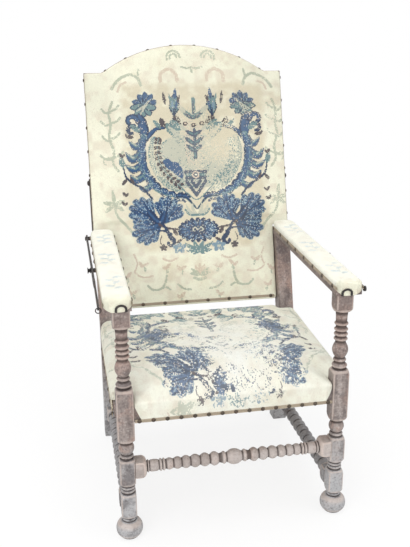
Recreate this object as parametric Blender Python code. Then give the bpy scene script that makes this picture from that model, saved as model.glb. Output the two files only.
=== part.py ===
"""Invalid chair: turned wooden armchair with a hinged back that leans down on two slotted iron stays.

Metres, +Z up, +Y towards the back, left and right as the viewer in front sees them.
Lengths along Y count from the centres of the front legs, and the root empty moves the origin to the middle
of the chair's footprint. Pieces of the back are drawn square to it, as (across, through, along).
"""

import math

import bmesh
import bpy
from mathutils import Matrix, Vector
from mathutils.geometry import tessellate_polygon

for old in list(bpy.data.objects):
    bpy.data.objects.remove(old, do_unlink=True)

# Clearances
SEAT_GAP = 0.0003
RUNNING_GAP = 0.0008

# Front legs, turned from square stock
LEG_HALF = 0.0215
LOW_HALF = 0.0198
LEG_X = 0.281
FOOT_RADIUS = 0.035
FOOT_TOP = 0.050
LOW_BLOCK = (0.060, 0.130)
STRETCHER_BLOCK = (0.155, 0.2295)
SEAT_BLOCK = (0.280, 0.426)
ARM_BLOCK = 0.047
VASE_SPAN = 0.160
SHOULDER_LENGTH = 0.015

# Arms
ARM_FRONT = -0.026
ARM_UNDER = 0.633
ARM_RISE = math.radians(2.55)
ARM_X = 0.289
ARM_HALF = 0.0345
ARM_HEIGHT = 0.040
ARM_RAIL_HEIGHT = 0.022
ARM_COVER = 0.004
ARM_BARE = 0.0132

# Back and the posts beside it
LEAN = math.radians(14.84)
BACK_Y = 0.5098
BACK_Z = 0.448
BACK_HALF = 0.312
BACK_LOW_HALF = 0.2620
STEP_ABOVE_POST = 0.012
ARCH_PEAK = 0.816
ARCH_RISE = 0.084
ARCH_RADIUS = 0.432
TOP_RAIL = 0.144
MIDDLE_RAIL = 0.045
MIDDLE_RAIL_ABOVE_STEP = 0.134
BOTTOM_RAIL = 0.060
BACK_THICK = 0.038
BACK_CROWN = 0.013
BACK_COVER = 0.004
BACK_WOOD = (0.008, 0.036)
POST_X = 0.2875
POST_HALF = 0.0235
POST_FRONT = -0.020
POST_DEPTH = 0.048
POST_UNDER_ARM_TOP = 0.0223
POST_BEND = -0.075
REAR_FOOT_Y = 0.5488

# Seat
SEAT_FRONT = -0.0225
SEAT_SIDE = 0.3120
SEAT_BACK = 0.5005
SEAT_LOW = 0.335
SEAT_COVER = 0.006
SEAT_HEM = 0.003
RAIL_TOP = 0.3797
RAIL_LOW = 0.337
RAIL_THICK = 0.024
WEB_THICK = 0.002
WEB_HALF = 0.027
WEB_INSET = (0.100, 0.098)
SEAT_FRONT_EDGE = 0.398
SEAT_BACK_EDGE = 0.441
SEAT_TOP = 0.444
SEAT_ROLL = 0.020
CROWN_REACH = 0.180

# Stretchers
FRONT_STRETCHER_Z = 0.1996
SIDE_STRETCHER_Z = 0.095
REAR_STRETCHER_Z = 0.135
REAR_STRETCHER_HALF = (0.013, 0.018)
STRETCHER_HALF = 0.022

# Ironwork: the pins that the back turns on, and the stays that hold it
PIN_RADIUS = 0.005
HINGE_THROUGH = 0.018
HINGE_ALONG = 0.026
RECLINE = math.radians(40)
STRAP_THICK = 0.004
STRAP_HALF = 0.006
STRAP_TOP = 0.406
STAY_THROUGH = 0.024
RIVET_ABOVE_PEG = 0.008
STAY_X = 0.3335
STAY_THICK = 0.005
STAY_END = 0.0115
STAY_HALF = 0.0065
TAIL_HALF = 0.003
PEG_Y = 0.2688
PEG_ABOVE_ARM = 0.0067
PEG_RADIUS = 0.004
COLLAR_RADIUS = 0.0062
SLOT_PLAY = 0.0008
NOTCH_DEPTH = 0.003
NOTCHES = 5
TAIL_LENGTH = 0.604
TAIL_START = 0.012
TAIL_BEND = 0.036
TAIL_FALL = math.radians(4.0)
EYE_RADIUS = 0.007
EYE_HOLE = 0.0036
RING_RADIUS = 0.0066
RING_WIRE = 0.0013

# Braid and domed nails
BRAID_THICK = 0.0012
BRAID_WIDTH = 0.009
NAIL_RADIUS = 0.0048
NAIL_HEIGHT = 0.003
NAIL_PITCH = 0.072

SIDES = (("left", -1), ("right", 1))
WOOD = ((0.20, 0.15, 0.13), 0.5, 0.0)
NEEDLEWORK = ((0.72, 0.69, 0.56), 0.9, 0.0)
LINEN = ((0.55, 0.50, 0.40), 0.95, 0.0)
BRAID = ((0.34, 0.25, 0.15), 0.7, 0.0)
IRON = ((0.09, 0.085, 0.08), 0.5, 0.9)


def on_back(through, along):
    """Y and Z of a point given square to the back, from the lower front edge of the panel."""
    y = BACK_Y + along * math.sin(LEAN) + through * math.cos(LEAN)
    z = BACK_Z + along * math.cos(LEAN) - through * math.sin(LEAN)
    return y, z


def along_at(height, through):
    """Length up the back at which a point at that depth is that high."""
    return (height - BACK_Z + through * math.sin(LEAN)) / math.cos(LEAN)


def beside_arm(y, above):
    """Height of a point that far above the underside of the arm rail."""
    return ARM_UNDER + (y - ARM_FRONT) * math.tan(ARM_RISE) + above / math.cos(ARM_RISE)


FRONT_END = -FOOT_RADIUS
REAR_END = on_back(BACK_THICK, ARCH_PEAK)[0]
BACK_SHOULDER = ARCH_PEAK - ARCH_RISE
ARM_ORIGIN = Vector((0.0, ARM_FRONT, ARM_UNDER))
PEG = Vector((0.0, PEG_Y, beside_arm(PEG_Y, PEG_ABOVE_ARM)))
POST_TOP = along_at(beside_arm(BACK_Y, ARM_HEIGHT) - POST_UNDER_ARM_TOP, POST_FRONT)
BACK_STEP = POST_TOP + STEP_ABOVE_POST
STAY_ALONG = along_at(PEG.z + RIVET_ABOVE_PEG, STAY_THROUGH)
HINGE = Vector((0.0, *on_back(HINGE_THROUGH, HINGE_ALONG)))
STAY_PIVOT = Vector((0.0, *on_back(STAY_THROUGH, STAY_ALONG)))


def empty(name, location, parent=None, turn=0.0):
    """Frame for a body, turned about X."""
    obj = bpy.data.objects.new(name, None)
    obj.empty_display_size = 0.05
    obj.location = location
    obj.rotation_euler.x = turn
    obj.parent = parent
    bpy.context.scene.collection.objects.link(obj)
    return obj


def solid(name, bm, finish, parent):
    """Object from a bmesh, with its own material."""
    bmesh.ops.recalc_face_normals(bm, faces=bm.faces[:])
    mesh = bpy.data.meshes.new(name)
    bm.to_mesh(mesh)
    bm.free()
    mesh.shade_smooth()
    mesh.set_sharp_from_angle(angle=math.radians(38))
    obj = bpy.data.objects.new(name, mesh)
    obj.parent = parent
    bpy.context.scene.collection.objects.link(obj)
    if finish:
        colour, roughness, metallic = finish
        material = bpy.data.materials.new(f"{name}_finish")
        material.use_nodes = True
        shader = material.node_tree.nodes["Principled BSDF"]
        shader.inputs["Base Color"].default_value = (*colour, 1.0)
        shader.inputs["Roughness"].default_value = roughness
        shader.inputs["Metallic"].default_value = metallic
        mesh.materials.append(material)
    return obj


def combine(obj, bm, operation):
    """Boolean with a hidden helper made from a bmesh."""
    helper = solid(f"{obj.name}_{operation.lower()}_{len(obj.modifiers)}", bm, None, obj.parent)
    helper.hide_render = True
    helper.display_type = "WIRE"
    modifier = obj.modifiers.new(operation.title(), "BOOLEAN")
    modifier.operation = operation
    modifier.object = helper


def soften(obj, width, segments=1):
    modifier = obj.modifiers.new("Bevel", "BEVEL")
    modifier.width = width
    modifier.segments = segments
    modifier.limit_method = "ANGLE"
    modifier.angle_limit = math.radians(40)


def bridge(bm, loops):
    """Closed skin over loops of equal length, with a flat face at each end."""
    rows = [[bm.verts.new(point) for point in loop] for loop in loops]
    count = len(rows[0])
    for low, high in zip(rows, rows[1:]):
        for i in range(count):
            j = (i + 1) % count
            bm.faces.new((low[i], low[j], high[j], high[i]))
    bm.faces.new(rows[0][::-1])
    bm.faces.new(rows[-1])


def prism(outline, low, high, axis="X"):
    """Outline swept straight along one axis. Its pairs are the other two axes, in order."""
    place = {
        "X": lambda a, b, s: (s, a, b),
        "Y": lambda a, b, s: (a, s, b),
        "Z": lambda a, b, s: (a, b, s),
    }[axis]
    bm = bmesh.new()
    bridge(bm, [[place(a, b, s) for a, b in outline] for s in (low, high)])
    return bm


def box(low, high):
    x0, y0, z0 = low
    x1, y1, z1 = high
    return prism([(x0, y0), (x1, y0), (x1, y1), (x0, y1)], z0, z1, "Z")


def lathe(rings, sides=16, end_slope=(0.0, 0.0)):
    """Turned piece along Z. A ring is (z, radius, half), where flats at half square off a block."""
    loops = []
    for z, radius, half in rings:
        loop = []
        for i in range(sides):
            c = math.cos(math.tau * i / sides)
            s = math.sin(math.tau * i / sides)
            r = min(radius, half / max(abs(c), abs(s))) if half else radius
            loop.append((r * c, r * s, z))
        loops.append(loop)
    loops[-1] = [(x, y, z + end_slope[0] * x + end_slope[1] * y) for x, y, z in loops[-1]]
    bm = bmesh.new()
    bridge(bm, loops)
    return bm


def across(bm, side, x, y, z):
    """Turns a piece made along Z to run outwards along X, from the given point."""
    turn = Matrix.Rotation(math.pi / 2, 4, "Y")
    bm.transform(Matrix.Translation((x * side, y, z)) @ Matrix.Scale(side, 4, (1, 0, 0)) @ turn)
    return bm


def cylinder(radius, start, end, sides=16):
    return lathe([(start, radius, 0), (end, radius, 0)], sides)


def block(low, high, half, neck, square_low=False, square_high=False):
    """Squared block whose ends are rounded over where the turning starts."""
    corner = half * 1.415
    over = []
    for step in range(4):
        angle = step * math.pi / 6
        over.append((SHOULDER_LENGTH * (1 - math.cos(angle)), neck + (corner - neck) * math.sin(angle)))
    rings = [(low, corner, half)] if square_low else [(low + z, r, half) for z, r in over]
    rings += [(high, corner, half)] if square_high else [(high - z, r, half) for z, r in reversed(over)]
    return rings


def bead(low, high, neck, radius, steps=4):
    """Rounded bead between two necks, without its last ring."""
    rings = []
    for step in range(steps):
        swell = math.sin(math.pi * step / steps)
        rings.append((low + (high - low) * step / steps, neck + (radius - neck) * swell, 0))
    return rings


def nails(places, sides=6):
    """Domed nail heads on a face that looks along +Z, each rooted a little below it."""
    bm = bmesh.new()
    for x, y in places:
        loops = []
        for height, share in ((-0.0006, 1.0), (NAIL_HEIGHT * 0.35, 0.92), (NAIL_HEIGHT, 0.35)):
            ring = []
            for i in range(sides):
                angle = math.tau * i / sides
                ring.append((x + NAIL_RADIUS * share * math.cos(angle),
                             y + NAIL_RADIUS * share * math.sin(angle), height))
            loops.append(ring)
        bridge(bm, loops)
    return bm


def spread(low, high, pitch=NAIL_PITCH):
    """Evenly set places between two ends, about one pitch apart."""
    count = max(1, round((high - low) / pitch))
    return [low + (high - low) * i / count for i in range(count + 1)]


chair = empty("chair", (0.0, -(FRONT_END + REAR_END) / 2, 0.0))
back = empty("back_axis", HINGE, chair, -LEAN)


# Legs

def front_leg_rings():
    rings = [(0.0, 0.62 * FOOT_RADIUS, 0)]
    for step in range(1, 6):
        angle = math.pi * (step / 6 - 0.5)
        middle = FOOT_TOP / 2
        rings.append((middle + middle * math.sin(angle), FOOT_RADIUS * math.cos(angle) ** 0.6, 0))
    rings += bead(FOOT_TOP, LOW_BLOCK[0] - 0.002, 0.016, 0.019, 3)
    rings += block(*LOW_BLOCK, LOW_HALF, 0.0155)
    for low in (LOW_BLOCK[1] + 0.003, (LOW_BLOCK[1] + STRETCHER_BLOCK[0]) / 2):
        rings += bead(low, low + 0.0095, 0.0145, 0.019, 3)
    rings += block(*STRETCHER_BLOCK, LOW_HALF, 0.0155)
    rings += bead(STRETCHER_BLOCK[1] + 0.003, STRETCHER_BLOCK[1] + 0.013, 0.014, 0.018, 3)
    rings += bead(STRETCHER_BLOCK[1] + 0.013, SEAT_BLOCK[0] - 0.003, 0.0135, 0.0203)
    rings += block(*SEAT_BLOCK, LEG_HALF, 0.016)
    vase = bead(0.002, 0.018, 0.0135, 0.020)
    vase += bead(0.021, 0.031, 0.0125, 0.017, 3)
    vase += bead(0.032, 0.076, 0.0125, 0.0207, 6)
    for middle in (0.084, 0.097, 0.110, 0.126):
        vase += bead(middle - 0.0055, middle + 0.0055, 0.0128, 0.0180, 3)
    vase += [(0.133, 0.0145, 0), (VASE_SPAN - 0.002, 0.0160, 0)]
    block_low = ARM_UNDER - ARM_BLOCK
    stretch = (block_low - SEAT_BLOCK[1]) / VASE_SPAN
    rings += [(SEAT_BLOCK[1] + z * stretch, r, half) for z, r, half in vase]
    rings += block(block_low, ARM_UNDER + LEG_HALF * math.tan(ARM_RISE) - SEAT_GAP,
                   LEG_HALF, 0.017, square_high=True)
    return rings


for name, side in SIDES:
    leg = lathe(front_leg_rings(), end_slope=(0.0, math.tan(ARM_RISE)))
    leg.transform(Matrix.Translation((LEG_X * side, 0.0, 0.0)))
    solid(f"front_leg_{name}", leg, WOOD, chair)

POST_OUTLINE = [
    (REAR_FOOT_Y - POST_DEPTH / 2, 0.0),
    (REAR_FOOT_Y + POST_DEPTH / 2, 0.0),
    on_back(POST_FRONT + POST_DEPTH, POST_BEND),
    on_back(POST_FRONT + POST_DEPTH, POST_TOP),
    on_back(POST_FRONT, POST_TOP),
    on_back(POST_FRONT, POST_BEND),
]


def post_face(z):
    """Y of the front face of the rear posts at a height."""
    foot, bend, top = POST_OUTLINE[0], POST_OUTLINE[5], POST_OUTLINE[4]
    low, high = (foot, bend) if z < bend[1] else (bend, top)
    return low[0] + (high[0] - low[0]) * (z - low[1]) / (high[1] - low[1])


for name, side in SIDES:
    inner, outer = sorted((side * (POST_X - POST_HALF), side * (POST_X + POST_HALF)))
    post = solid(f"rear_leg_{name}", prism(POST_OUTLINE, inner, outer), WOOD, chair)
    soften(post, 0.0025)
    bore = cylinder(PIN_RADIUS + SEAT_GAP, -POST_HALF - 0.01, POST_HALF + 0.01)
    combine(post, across(bore, side, POST_X, HINGE.y, HINGE.z), "DIFFERENCE")


# Stretchers

def front_stretcher_half(reach):
    """Rings from the middle ball outwards to the squared end."""
    rings = [(0.0, 0.0205, 0), (0.008, 0.0195, 0), (0.015, 0.016, 0), (0.021, 0.0125, 0)]
    rings += bead(0.022, 0.034, 0.0125, 0.0165, 3)
    edges = [0.0405, 0.0655, 0.0913, 0.1168, 0.140, 0.1615, 0.1825]
    for number, (low, high) in enumerate(zip(edges, edges[1:])):
        rings += bead(low, high, 0.0115, 0.0185 - 0.0006 * number)
    rings += bead(0.1825, 0.1905, 0.012, 0.0165, 3)
    rings += bead(0.1905, 0.199, 0.012, 0.0165, 3)
    rings += [(0.199, 0.0125, 0), (0.212, 0.0135, 0), (0.229, 0.0125, 0)]
    rings += block(0.2315, reach, STRETCHER_HALF, 0.0135, square_high=True)
    return rings


half_rings = front_stretcher_half(LEG_X - LOW_HALF - SEAT_GAP)
rings = [(-z, r, half) for z, r, half in reversed(half_rings[1:])] + half_rings
solid("front_stretcher", across(lathe(rings), 1, 0.0, 0.0, FRONT_STRETCHER_Z), WOOD, chair)


def side_stretcher_rings(length):
    count = 13
    first, last = 0.034, length - 0.034
    rings = block(0.0, first - 0.002, STRETCHER_HALF, 0.0125, square_low=True)
    for i in range(count):
        low = first + (last - first) * i / count
        rings += bead(low, low + (last - first) / count, 0.0115, 0.0195, 3)
    rings.append((last, 0.0115, 0))
    rings += block(last + 0.002, length, STRETCHER_HALF, 0.0125, square_high=True)
    return rings


start = LOW_HALF + SEAT_GAP
reach = post_face(SIDE_STRETCHER_Z) - SEAT_GAP - start
post_slope = (POST_OUTLINE[5][0] - POST_OUTLINE[0][0]) / POST_OUTLINE[5][1]
for name, side in SIDES:
    bar = lathe(side_stretcher_rings(reach), end_slope=(0.0, post_slope))
    bar.transform(Matrix.Translation((LEG_X * side, start, SIDE_STRETCHER_Z)) @ Matrix(
        ((1, 0, 0, 0), (0, 0, 1, 0), (0, 1, 0, 0), (0, 0, 0, 1))))
    solid(f"side_stretcher_{name}", bar, WOOD, chair)

span = POST_X - POST_HALF - SEAT_GAP
middle = post_face(REAR_STRETCHER_Z) + POST_DEPTH / 2
thick, tall = REAR_STRETCHER_HALF
rear_stretcher = solid("rear_stretcher", box((-span, middle - thick, REAR_STRETCHER_Z - tall),
                                             (span, middle + thick, REAR_STRETCHER_Z + tall)), WOOD, chair)
soften(rear_stretcher, 0.002)


# Seat frame and its webbing

leg_inner = LEG_X - LEG_HALF - SEAT_GAP
front_rail_y = SEAT_FRONT + SEAT_COVER + SEAT_GAP
solid("seat_rail_front", box((-leg_inner, front_rail_y, RAIL_LOW),
                             (leg_inner, front_rail_y + RAIL_THICK, RAIL_TOP)), WOOD, chair)
rear_rail_y = SEAT_BACK - SEAT_COVER - SEAT_GAP
solid("seat_rail_rear", box((-span, rear_rail_y - RAIL_THICK, RAIL_LOW), (span, rear_rail_y, RAIL_TOP)),
      WOOD, chair)
side_rail_x = SEAT_SIDE - SEAT_COVER - SEAT_GAP
side_rail_end = POST_OUTLINE[5][0] - SEAT_GAP
for name, side in SIDES:
    low, high = sorted((side * (side_rail_x - RAIL_THICK), side * side_rail_x))
    solid(f"seat_rail_{name}", box((low, LEG_HALF + SEAT_GAP, RAIL_LOW), (high, side_rail_end, RAIL_TOP)),
          WOOD, chair)


def webbing():
    """Crossed strips of web, as one sheet with square gaps."""
    count = 4
    reach_x, near, far = side_rail_x - 0.006, front_rail_y + 0.004, rear_rail_y - 0.004
    inset_x, inset_y = WEB_INSET
    lanes_x = [(reach_x - inset_x) * (2 * i / (count - 1) - 1) for i in range(count)]
    lanes_y = [near + inset_y + (far - near - 2 * inset_y) * i / (count - 1) for i in range(count)]
    xs = sorted([-reach_x, reach_x] + [x + d for x in lanes_x for d in (-WEB_HALF, WEB_HALF)])
    ys = sorted([near, far] + [y + d for y in lanes_y for d in (-WEB_HALF, WEB_HALF)])
    bm = bmesh.new()
    grid = {}
    for i in range(len(xs) - 1):
        for j in range(len(ys) - 1):
            if i % 2 == 0 and j % 2 == 0:
                continue
            corners = []
            for a, b in ((i, j), (i + 1, j), (i + 1, j + 1), (i, j + 1)):
                if (a, b) not in grid:
                    grid[a, b] = bm.verts.new((xs[a], ys[b], RAIL_TOP + SEAT_GAP))
                corners.append(grid[a, b])
            bm.faces.new(corners)
    raised = bmesh.ops.extrude_face_region(bm, geom=bm.faces[:])["geom"]
    lifted = [item for item in raised if isinstance(item, bmesh.types.BMVert)]
    bmesh.ops.translate(bm, verts=lifted, vec=(0, 0, WEB_THICK))
    return bm


solid("seat_webbing", webbing(), LINEN, chair)


# Seat upholstery: a crowned pad notched round the posts, with skirts over the rails

PAD_FRONT_HALF = leg_inner - SEAT_GAP
PAD_NOTCH = LEG_HALF + 2 * SEAT_GAP
PAD_SIDE_END = side_rail_end - SEAT_GAP
PAD_REAR_HALF = span - SEAT_GAP


def seat_outline(inset):
    right = [
        (PAD_FRONT_HALF - inset, SEAT_FRONT + inset),
        (PAD_FRONT_HALF - inset, PAD_NOTCH + inset),
        (SEAT_SIDE - inset, PAD_NOTCH + inset),
        (SEAT_SIDE - inset, PAD_SIDE_END - inset),
        (PAD_REAR_HALF - inset, PAD_SIDE_END - inset),
        (PAD_REAR_HALF - inset, SEAT_BACK - inset),
    ]
    return right + [(-x, y) for x, y in reversed(right)]


def seat_pad():
    """Crowned pad whose edge stands higher at the back and rolls over all round."""
    low = RAIL_TOP + WEB_THICK + 2 * SEAT_GAP
    slope = (SEAT_BACK_EDGE - SEAT_FRONT_EDGE) / (SEAT_BACK - SEAT_FRONT)
    levels = [(SEAT_ROLL * share_in, share_up, 0.0) for share_in, share_up in (
        (0.0, 0.0), (0.0, 0.35), (0.15, 0.62), (0.45, 0.84), (1.0, 1.0))]
    for share in (0.12, 0.3, 0.52, 0.76, 1.0):
        levels.append((SEAT_ROLL + CROWN_REACH * share, 1.0, 1 - (1 - share) ** 2))
    loops = []
    for inset, roll, crown in levels:
        loop = []
        for x, y in seat_outline(inset):
            edge = SEAT_FRONT_EDGE + (y - SEAT_FRONT) * slope
            loop.append((x, y, low + (edge - low) * roll + (SEAT_TOP - edge) * crown))
        loops.append(loop)
    bm = bmesh.new()
    bridge(bm, loops)
    bmesh.ops.triangulate(bm, faces=[face for face in bm.faces if len(face.verts) == 4])
    return bm


pad = solid("seat_pad", seat_pad(), NEEDLEWORK, chair)
skirt_top = RAIL_TOP + 0.012
front_skirt = SEAT_FRONT + SEAT_HEM, SEAT_FRONT + SEAT_COVER
rear_skirt = SEAT_BACK - SEAT_COVER, SEAT_BACK - SEAT_HEM
combine(pad, box((-PAD_FRONT_HALF + SEAT_GAP, front_skirt[0], SEAT_LOW),
                 (PAD_FRONT_HALF - SEAT_GAP, front_skirt[1], skirt_top)), "UNION")
combine(pad, box((-PAD_REAR_HALF + SEAT_GAP, rear_skirt[0], SEAT_LOW),
                 (PAD_REAR_HALF - SEAT_GAP, rear_skirt[1], skirt_top)), "UNION")
for name, side in SIDES:
    low, high = sorted((side * (SEAT_SIDE - SEAT_COVER), side * (SEAT_SIDE - SEAT_HEM)))
    skirt = box((low, PAD_NOTCH + SEAT_GAP, SEAT_LOW), (high, PAD_SIDE_END - SEAT_GAP, skirt_top))
    combine(pad, skirt, "UNION")


def nailed_strip(name, strip, heads, to_face, parent):
    """Braid with a row of nails through it."""
    obj = solid(name, strip, BRAID, parent)
    heads.transform(to_face)
    combine(obj, heads, "UNION")
    return obj


braid_z = SEAT_LOW + 0.001
face = SEAT_FRONT + SEAT_HEM - SEAT_GAP
strip = box((-PAD_FRONT_HALF + 0.002, face - BRAID_THICK, braid_z),
            (PAD_FRONT_HALF - 0.002, face, braid_z + BRAID_WIDTH))
row = [(x, braid_z + BRAID_WIDTH / 2) for x in spread(-PAD_FRONT_HALF + 0.012, PAD_FRONT_HALF - 0.012)]
to_front = Matrix(((1, 0, 0, 0), (0, 0, -1, face - BRAID_THICK), (0, 1, 0, 0), (0, 0, 0, 1)))
nailed_strip("seat_braid_front", strip, nails(row), to_front, chair)
for name, side in SIDES:
    face = SEAT_SIDE - SEAT_HEM + SEAT_GAP
    low, high = sorted((side * face, side * (face + BRAID_THICK)))
    strip = box((low, PAD_NOTCH + 0.002, braid_z), (high, PAD_SIDE_END - 0.002, braid_z + BRAID_WIDTH))
    row = [(y, braid_z + BRAID_WIDTH / 2) for y in spread(PAD_NOTCH + 0.012, PAD_SIDE_END - 0.012)]
    to_side = Matrix(((0, 0, side, side * (face + BRAID_THICK)), (1, 0, 0, 0), (0, 1, 0, 0), (0, 0, 0, 1)))
    nailed_strip(f"seat_braid_{name}", strip, nails(row), to_side, chair)


# Arms, drawn along the slope of the rail from its lower front edge

def arm_end(height):
    """Length of the arm to the rear post, at a height above the underside of the rail."""
    lean, rise = math.tan(LEAN), ARM_RISE
    base_y, base_z = on_back(POST_FRONT, 0.0)
    start = ARM_ORIGIN.y - height * math.sin(rise) - base_y
    above = ARM_ORIGIN.z + height * math.cos(rise) - base_z
    return (above * lean - start) / (math.cos(rise) - math.sin(rise) * lean) - SEAT_GAP


peg_place = (PEG_Y - ARM_FRONT) / math.cos(ARM_RISE) + PEG_ABOVE_ARM * math.tan(ARM_RISE)
for name, side in SIDES:
    arm = empty(f"arm_frame_{name}", (ARM_X * side, ARM_ORIGIN.y, ARM_ORIGIN.z), chair, ARM_RISE)
    rail_half = ARM_HALF - 0.0008
    tongue_half = ARM_HALF - ARM_COVER - SEAT_GAP
    rail_front = ARM_COVER + SEAT_GAP
    far = arm_end(ARM_HEIGHT) + 0.05
    rail = solid(f"arm_rail_{name}", prism([(rail_front, 0.0), (arm_end(0.0), 0.0),
                                            (arm_end(ARM_RAIL_HEIGHT), ARM_RAIL_HEIGHT),
                                            (rail_front, ARM_RAIL_HEIGHT)], -rail_half, rail_half), WOOD, arm)
    for turned in (-1, 1):
        low, high = sorted((turned * tongue_half, turned * (rail_half + 0.01)))
        combine(rail, box((low, -0.01, ARM_BARE), (high, far, ARM_RAIL_HEIGHT + 0.01)), "DIFFERENCE")
    cover = solid(f"arm_pad_{name}", prism([(0.0, 0.0), (arm_end(0.0), 0.0),
                                            (arm_end(ARM_HEIGHT), ARM_HEIGHT), (0.0, ARM_HEIGHT)],
                                           -ARM_HALF, ARM_HALF), NEEDLEWORK, arm)
    top_edges = cover.modifiers.new("Bevel", "BEVEL")
    top_edges.width = 0.011
    top_edges.segments = 3
    top_edges.limit_method = "VGROUP"
    crown = cover.vertex_groups.new(name="crown")
    crown.add([v.index for v in cover.data.vertices if v.co.z > ARM_HEIGHT / 2], 1.0, "REPLACE")
    top_edges.vertex_group = "crown"
    wide = ARM_HALF + 0.01
    combine(cover, box((-wide, ARM_COVER, -0.02), (wide, far, ARM_BARE + SEAT_GAP)), "DIFFERENCE")
    recess = box((-tongue_half - SEAT_GAP, ARM_COVER, -0.02),
                 (tongue_half + SEAT_GAP, far, ARM_RAIL_HEIGHT + SEAT_GAP))
    combine(cover, recess, "DIFFERENCE")

    # Spool that the stay slides on, let into the bare lower part of the rail
    peg_root = ARM_HALF - 0.020
    bore = cylinder(PEG_RADIUS + SEAT_GAP, 0.0, 0.04)
    combine(rail, across(bore, side, peg_root - SEAT_GAP, peg_place, PEG_ABOVE_ARM), "DIFFERENCE")
    face = rail_half + SEAT_GAP
    stay_face = STAY_X - ARM_X - STAY_THICK / 2
    head = STAY_X - ARM_X + STAY_THICK / 2 + RUNNING_GAP
    spool = [(peg_root, PEG_RADIUS), (face, PEG_RADIUS), (face, COLLAR_RADIUS),
             (stay_face - RUNNING_GAP, COLLAR_RADIUS), (stay_face - RUNNING_GAP, PEG_RADIUS),
             (head, PEG_RADIUS), (head, 0.0072), (head + 0.0018, 0.0078), (head + 0.003, 0.0058),
             (head + 0.0048, 0.0044),
             (head + 0.0066, 0.0058), (head + 0.0078, 0.0086), (head + 0.0092, 0.0078)]
    spool = lathe([(x - peg_root, r, 0) for x, r in spool], 12)
    solid(f"stay_peg_{name}", across(spool, side, peg_root, peg_place, PEG_ABOVE_ARM), IRON, arm)

    # Braid along both lower edges. The outer one has no nails where the spool and the ring are.
    out, low, far = ARM_HALF + SEAT_GAP, ARM_BARE + 0.0012, arm_end(ARM_BARE) - 0.004
    level = low + BRAID_WIDTH / 2
    for edge_name, turned in (("inner", -side), ("outer", side)):
        faces = sorted((turned * out, turned * (out + BRAID_THICK)))
        strip = box((faces[0], 0.003, low), (faces[1], far, low + BRAID_WIDTH))
        places = [(y, level) for y in spread(0.030, far - 0.012)]
        if turned == side:
            places = [(y, h) for y, h in places if y > 0.19 and abs(y - peg_place) > 0.016]
        to_side = Matrix(((0, 0, turned, turned * (out + BRAID_THICK)), (1, 0, 0, 0), (0, 1, 0, 0),
                          (0, 0, 0, 1)))
        nailed_strip(f"arm_braid_{edge_name}_{name}", strip, nails(places), to_side, arm)

    # Arched iron strap on the front end
    outer, inner, foot, top = 0.0150, 0.0095, 0.0015, 0.0085
    arch = [(outer * math.cos(a), top + outer * 0.8 * math.sin(a)) for a in
            [math.pi * i / 8 for i in range(9)]]
    hollow = [(inner * math.cos(a), top + inner * 0.75 * math.sin(a)) for a in
              [math.pi * (8 - i) / 8 for i in range(9)]]
    shape = [(outer, foot)] + arch + [(-outer, foot), (-inner, foot)] + hollow + [(inner, foot)]
    shape = [(x - side * 0.008, z) for x, z in shape]
    solid(f"front_strap_{name}", prism(shape, -SEAT_GAP - 0.0025, -SEAT_GAP, "Y"), IRON, arm)


# Back panel, drawn square to its lean with the origin on the hinge

def panel_outline(inset):
    """Outline of the back as (across, along), from the lower right corner round to the left."""
    low, wide = BACK_LOW_HALF - inset, BACK_HALF - inset
    radius, centre = ARCH_RADIUS - inset, ARCH_PEAK - ARCH_RADIUS
    shoulder = BACK_SHOULDER - inset
    foot = math.asin((shoulder - centre) / radius)
    right = [(low, inset), (low, BACK_STEP + inset), (wide, BACK_STEP + inset), (wide, shoulder)]
    for i in range(8):
        angle = foot + (math.pi / 2 - foot) * i / 8
        right.append((radius * math.cos(angle), centre + radius * math.sin(angle)))
    return right + [(0.0, ARCH_PEAK - inset)] + [(-x, z) for x, z in reversed(right)]


def in_panel(outline):
    return [(x, z - HINGE_ALONG) for x, z in outline]


def back_pad():
    """Upholstered front, with a flat nailed border, a crowned field and skirts round the frame."""
    levels = [(BACK_COVER, BACK_WOOD[0] - SEAT_GAP), (BACK_COVER, BACK_THICK), (0.0, BACK_THICK),
              (0.0, 0.003), (0.0012, 0.0008), (0.004, 0.0), (0.0165, -0.0005)]
    for inset in (0.024, 0.038, 0.060, 0.090):
        levels.append((inset, -BACK_CROWN * math.sin(math.pi / 2 * (inset - 0.012) / 0.078)))
    bm = bmesh.new()
    bridge(bm, [[(x, through - HINGE_THROUGH, z) for x, z in in_panel(panel_outline(inset))]
                for inset, through in levels])
    return bm


wood = BACK_COVER + SEAT_GAP
thick = [value - HINGE_THROUGH for value in BACK_WOOD]
stile_low, stile_wide, stile_jog = 0.222, 0.262, 0.060
pad = solid("back_pad", back_pad(), NEEDLEWORK, back)
for name, side in SIDES:
    hole = cylinder(PIN_RADIUS + 0.0015, 0.0, 0.016)
    combine(pad, across(hole, side, BACK_LOW_HALF - 0.008, 0.0, 0.0), "DIFFERENCE")
    right = panel_outline(wood)[:4]
    shape = right + [(stile_wide, right[3][1]), (stile_wide, BACK_STEP + stile_jog + 0.04),
                     (stile_low, BACK_STEP + stile_jog), (stile_low, wood)]
    shape = in_panel([(x * side, z) for x, z in shape])
    stile = solid(f"back_stile_{name}", prism(shape, *thick, "Y"), WOOD, back)
    bore = cylinder(PIN_RADIUS + SEAT_GAP, 0.0, 0.06)
    combine(stile, across(bore, side, BACK_LOW_HALF - wood - 0.030, 0.0, 0.0), "DIFFERENCE")
    reach = POST_X + POST_HALF + SEAT_GAP
    root = BACK_LOW_HALF - wood - 0.030 + SEAT_GAP
    pin = lathe([(0.0, PIN_RADIUS, 0), (reach - root, PIN_RADIUS, 0), (reach - root, 0.009, 0),
                 (reach - root + 0.002, 0.0085, 0), (reach - root + 0.0035, 0.005, 0)])
    solid(f"hinge_pin_{name}", across(pin, side, root, HINGE.y, HINGE.z), IRON, chair)

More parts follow.
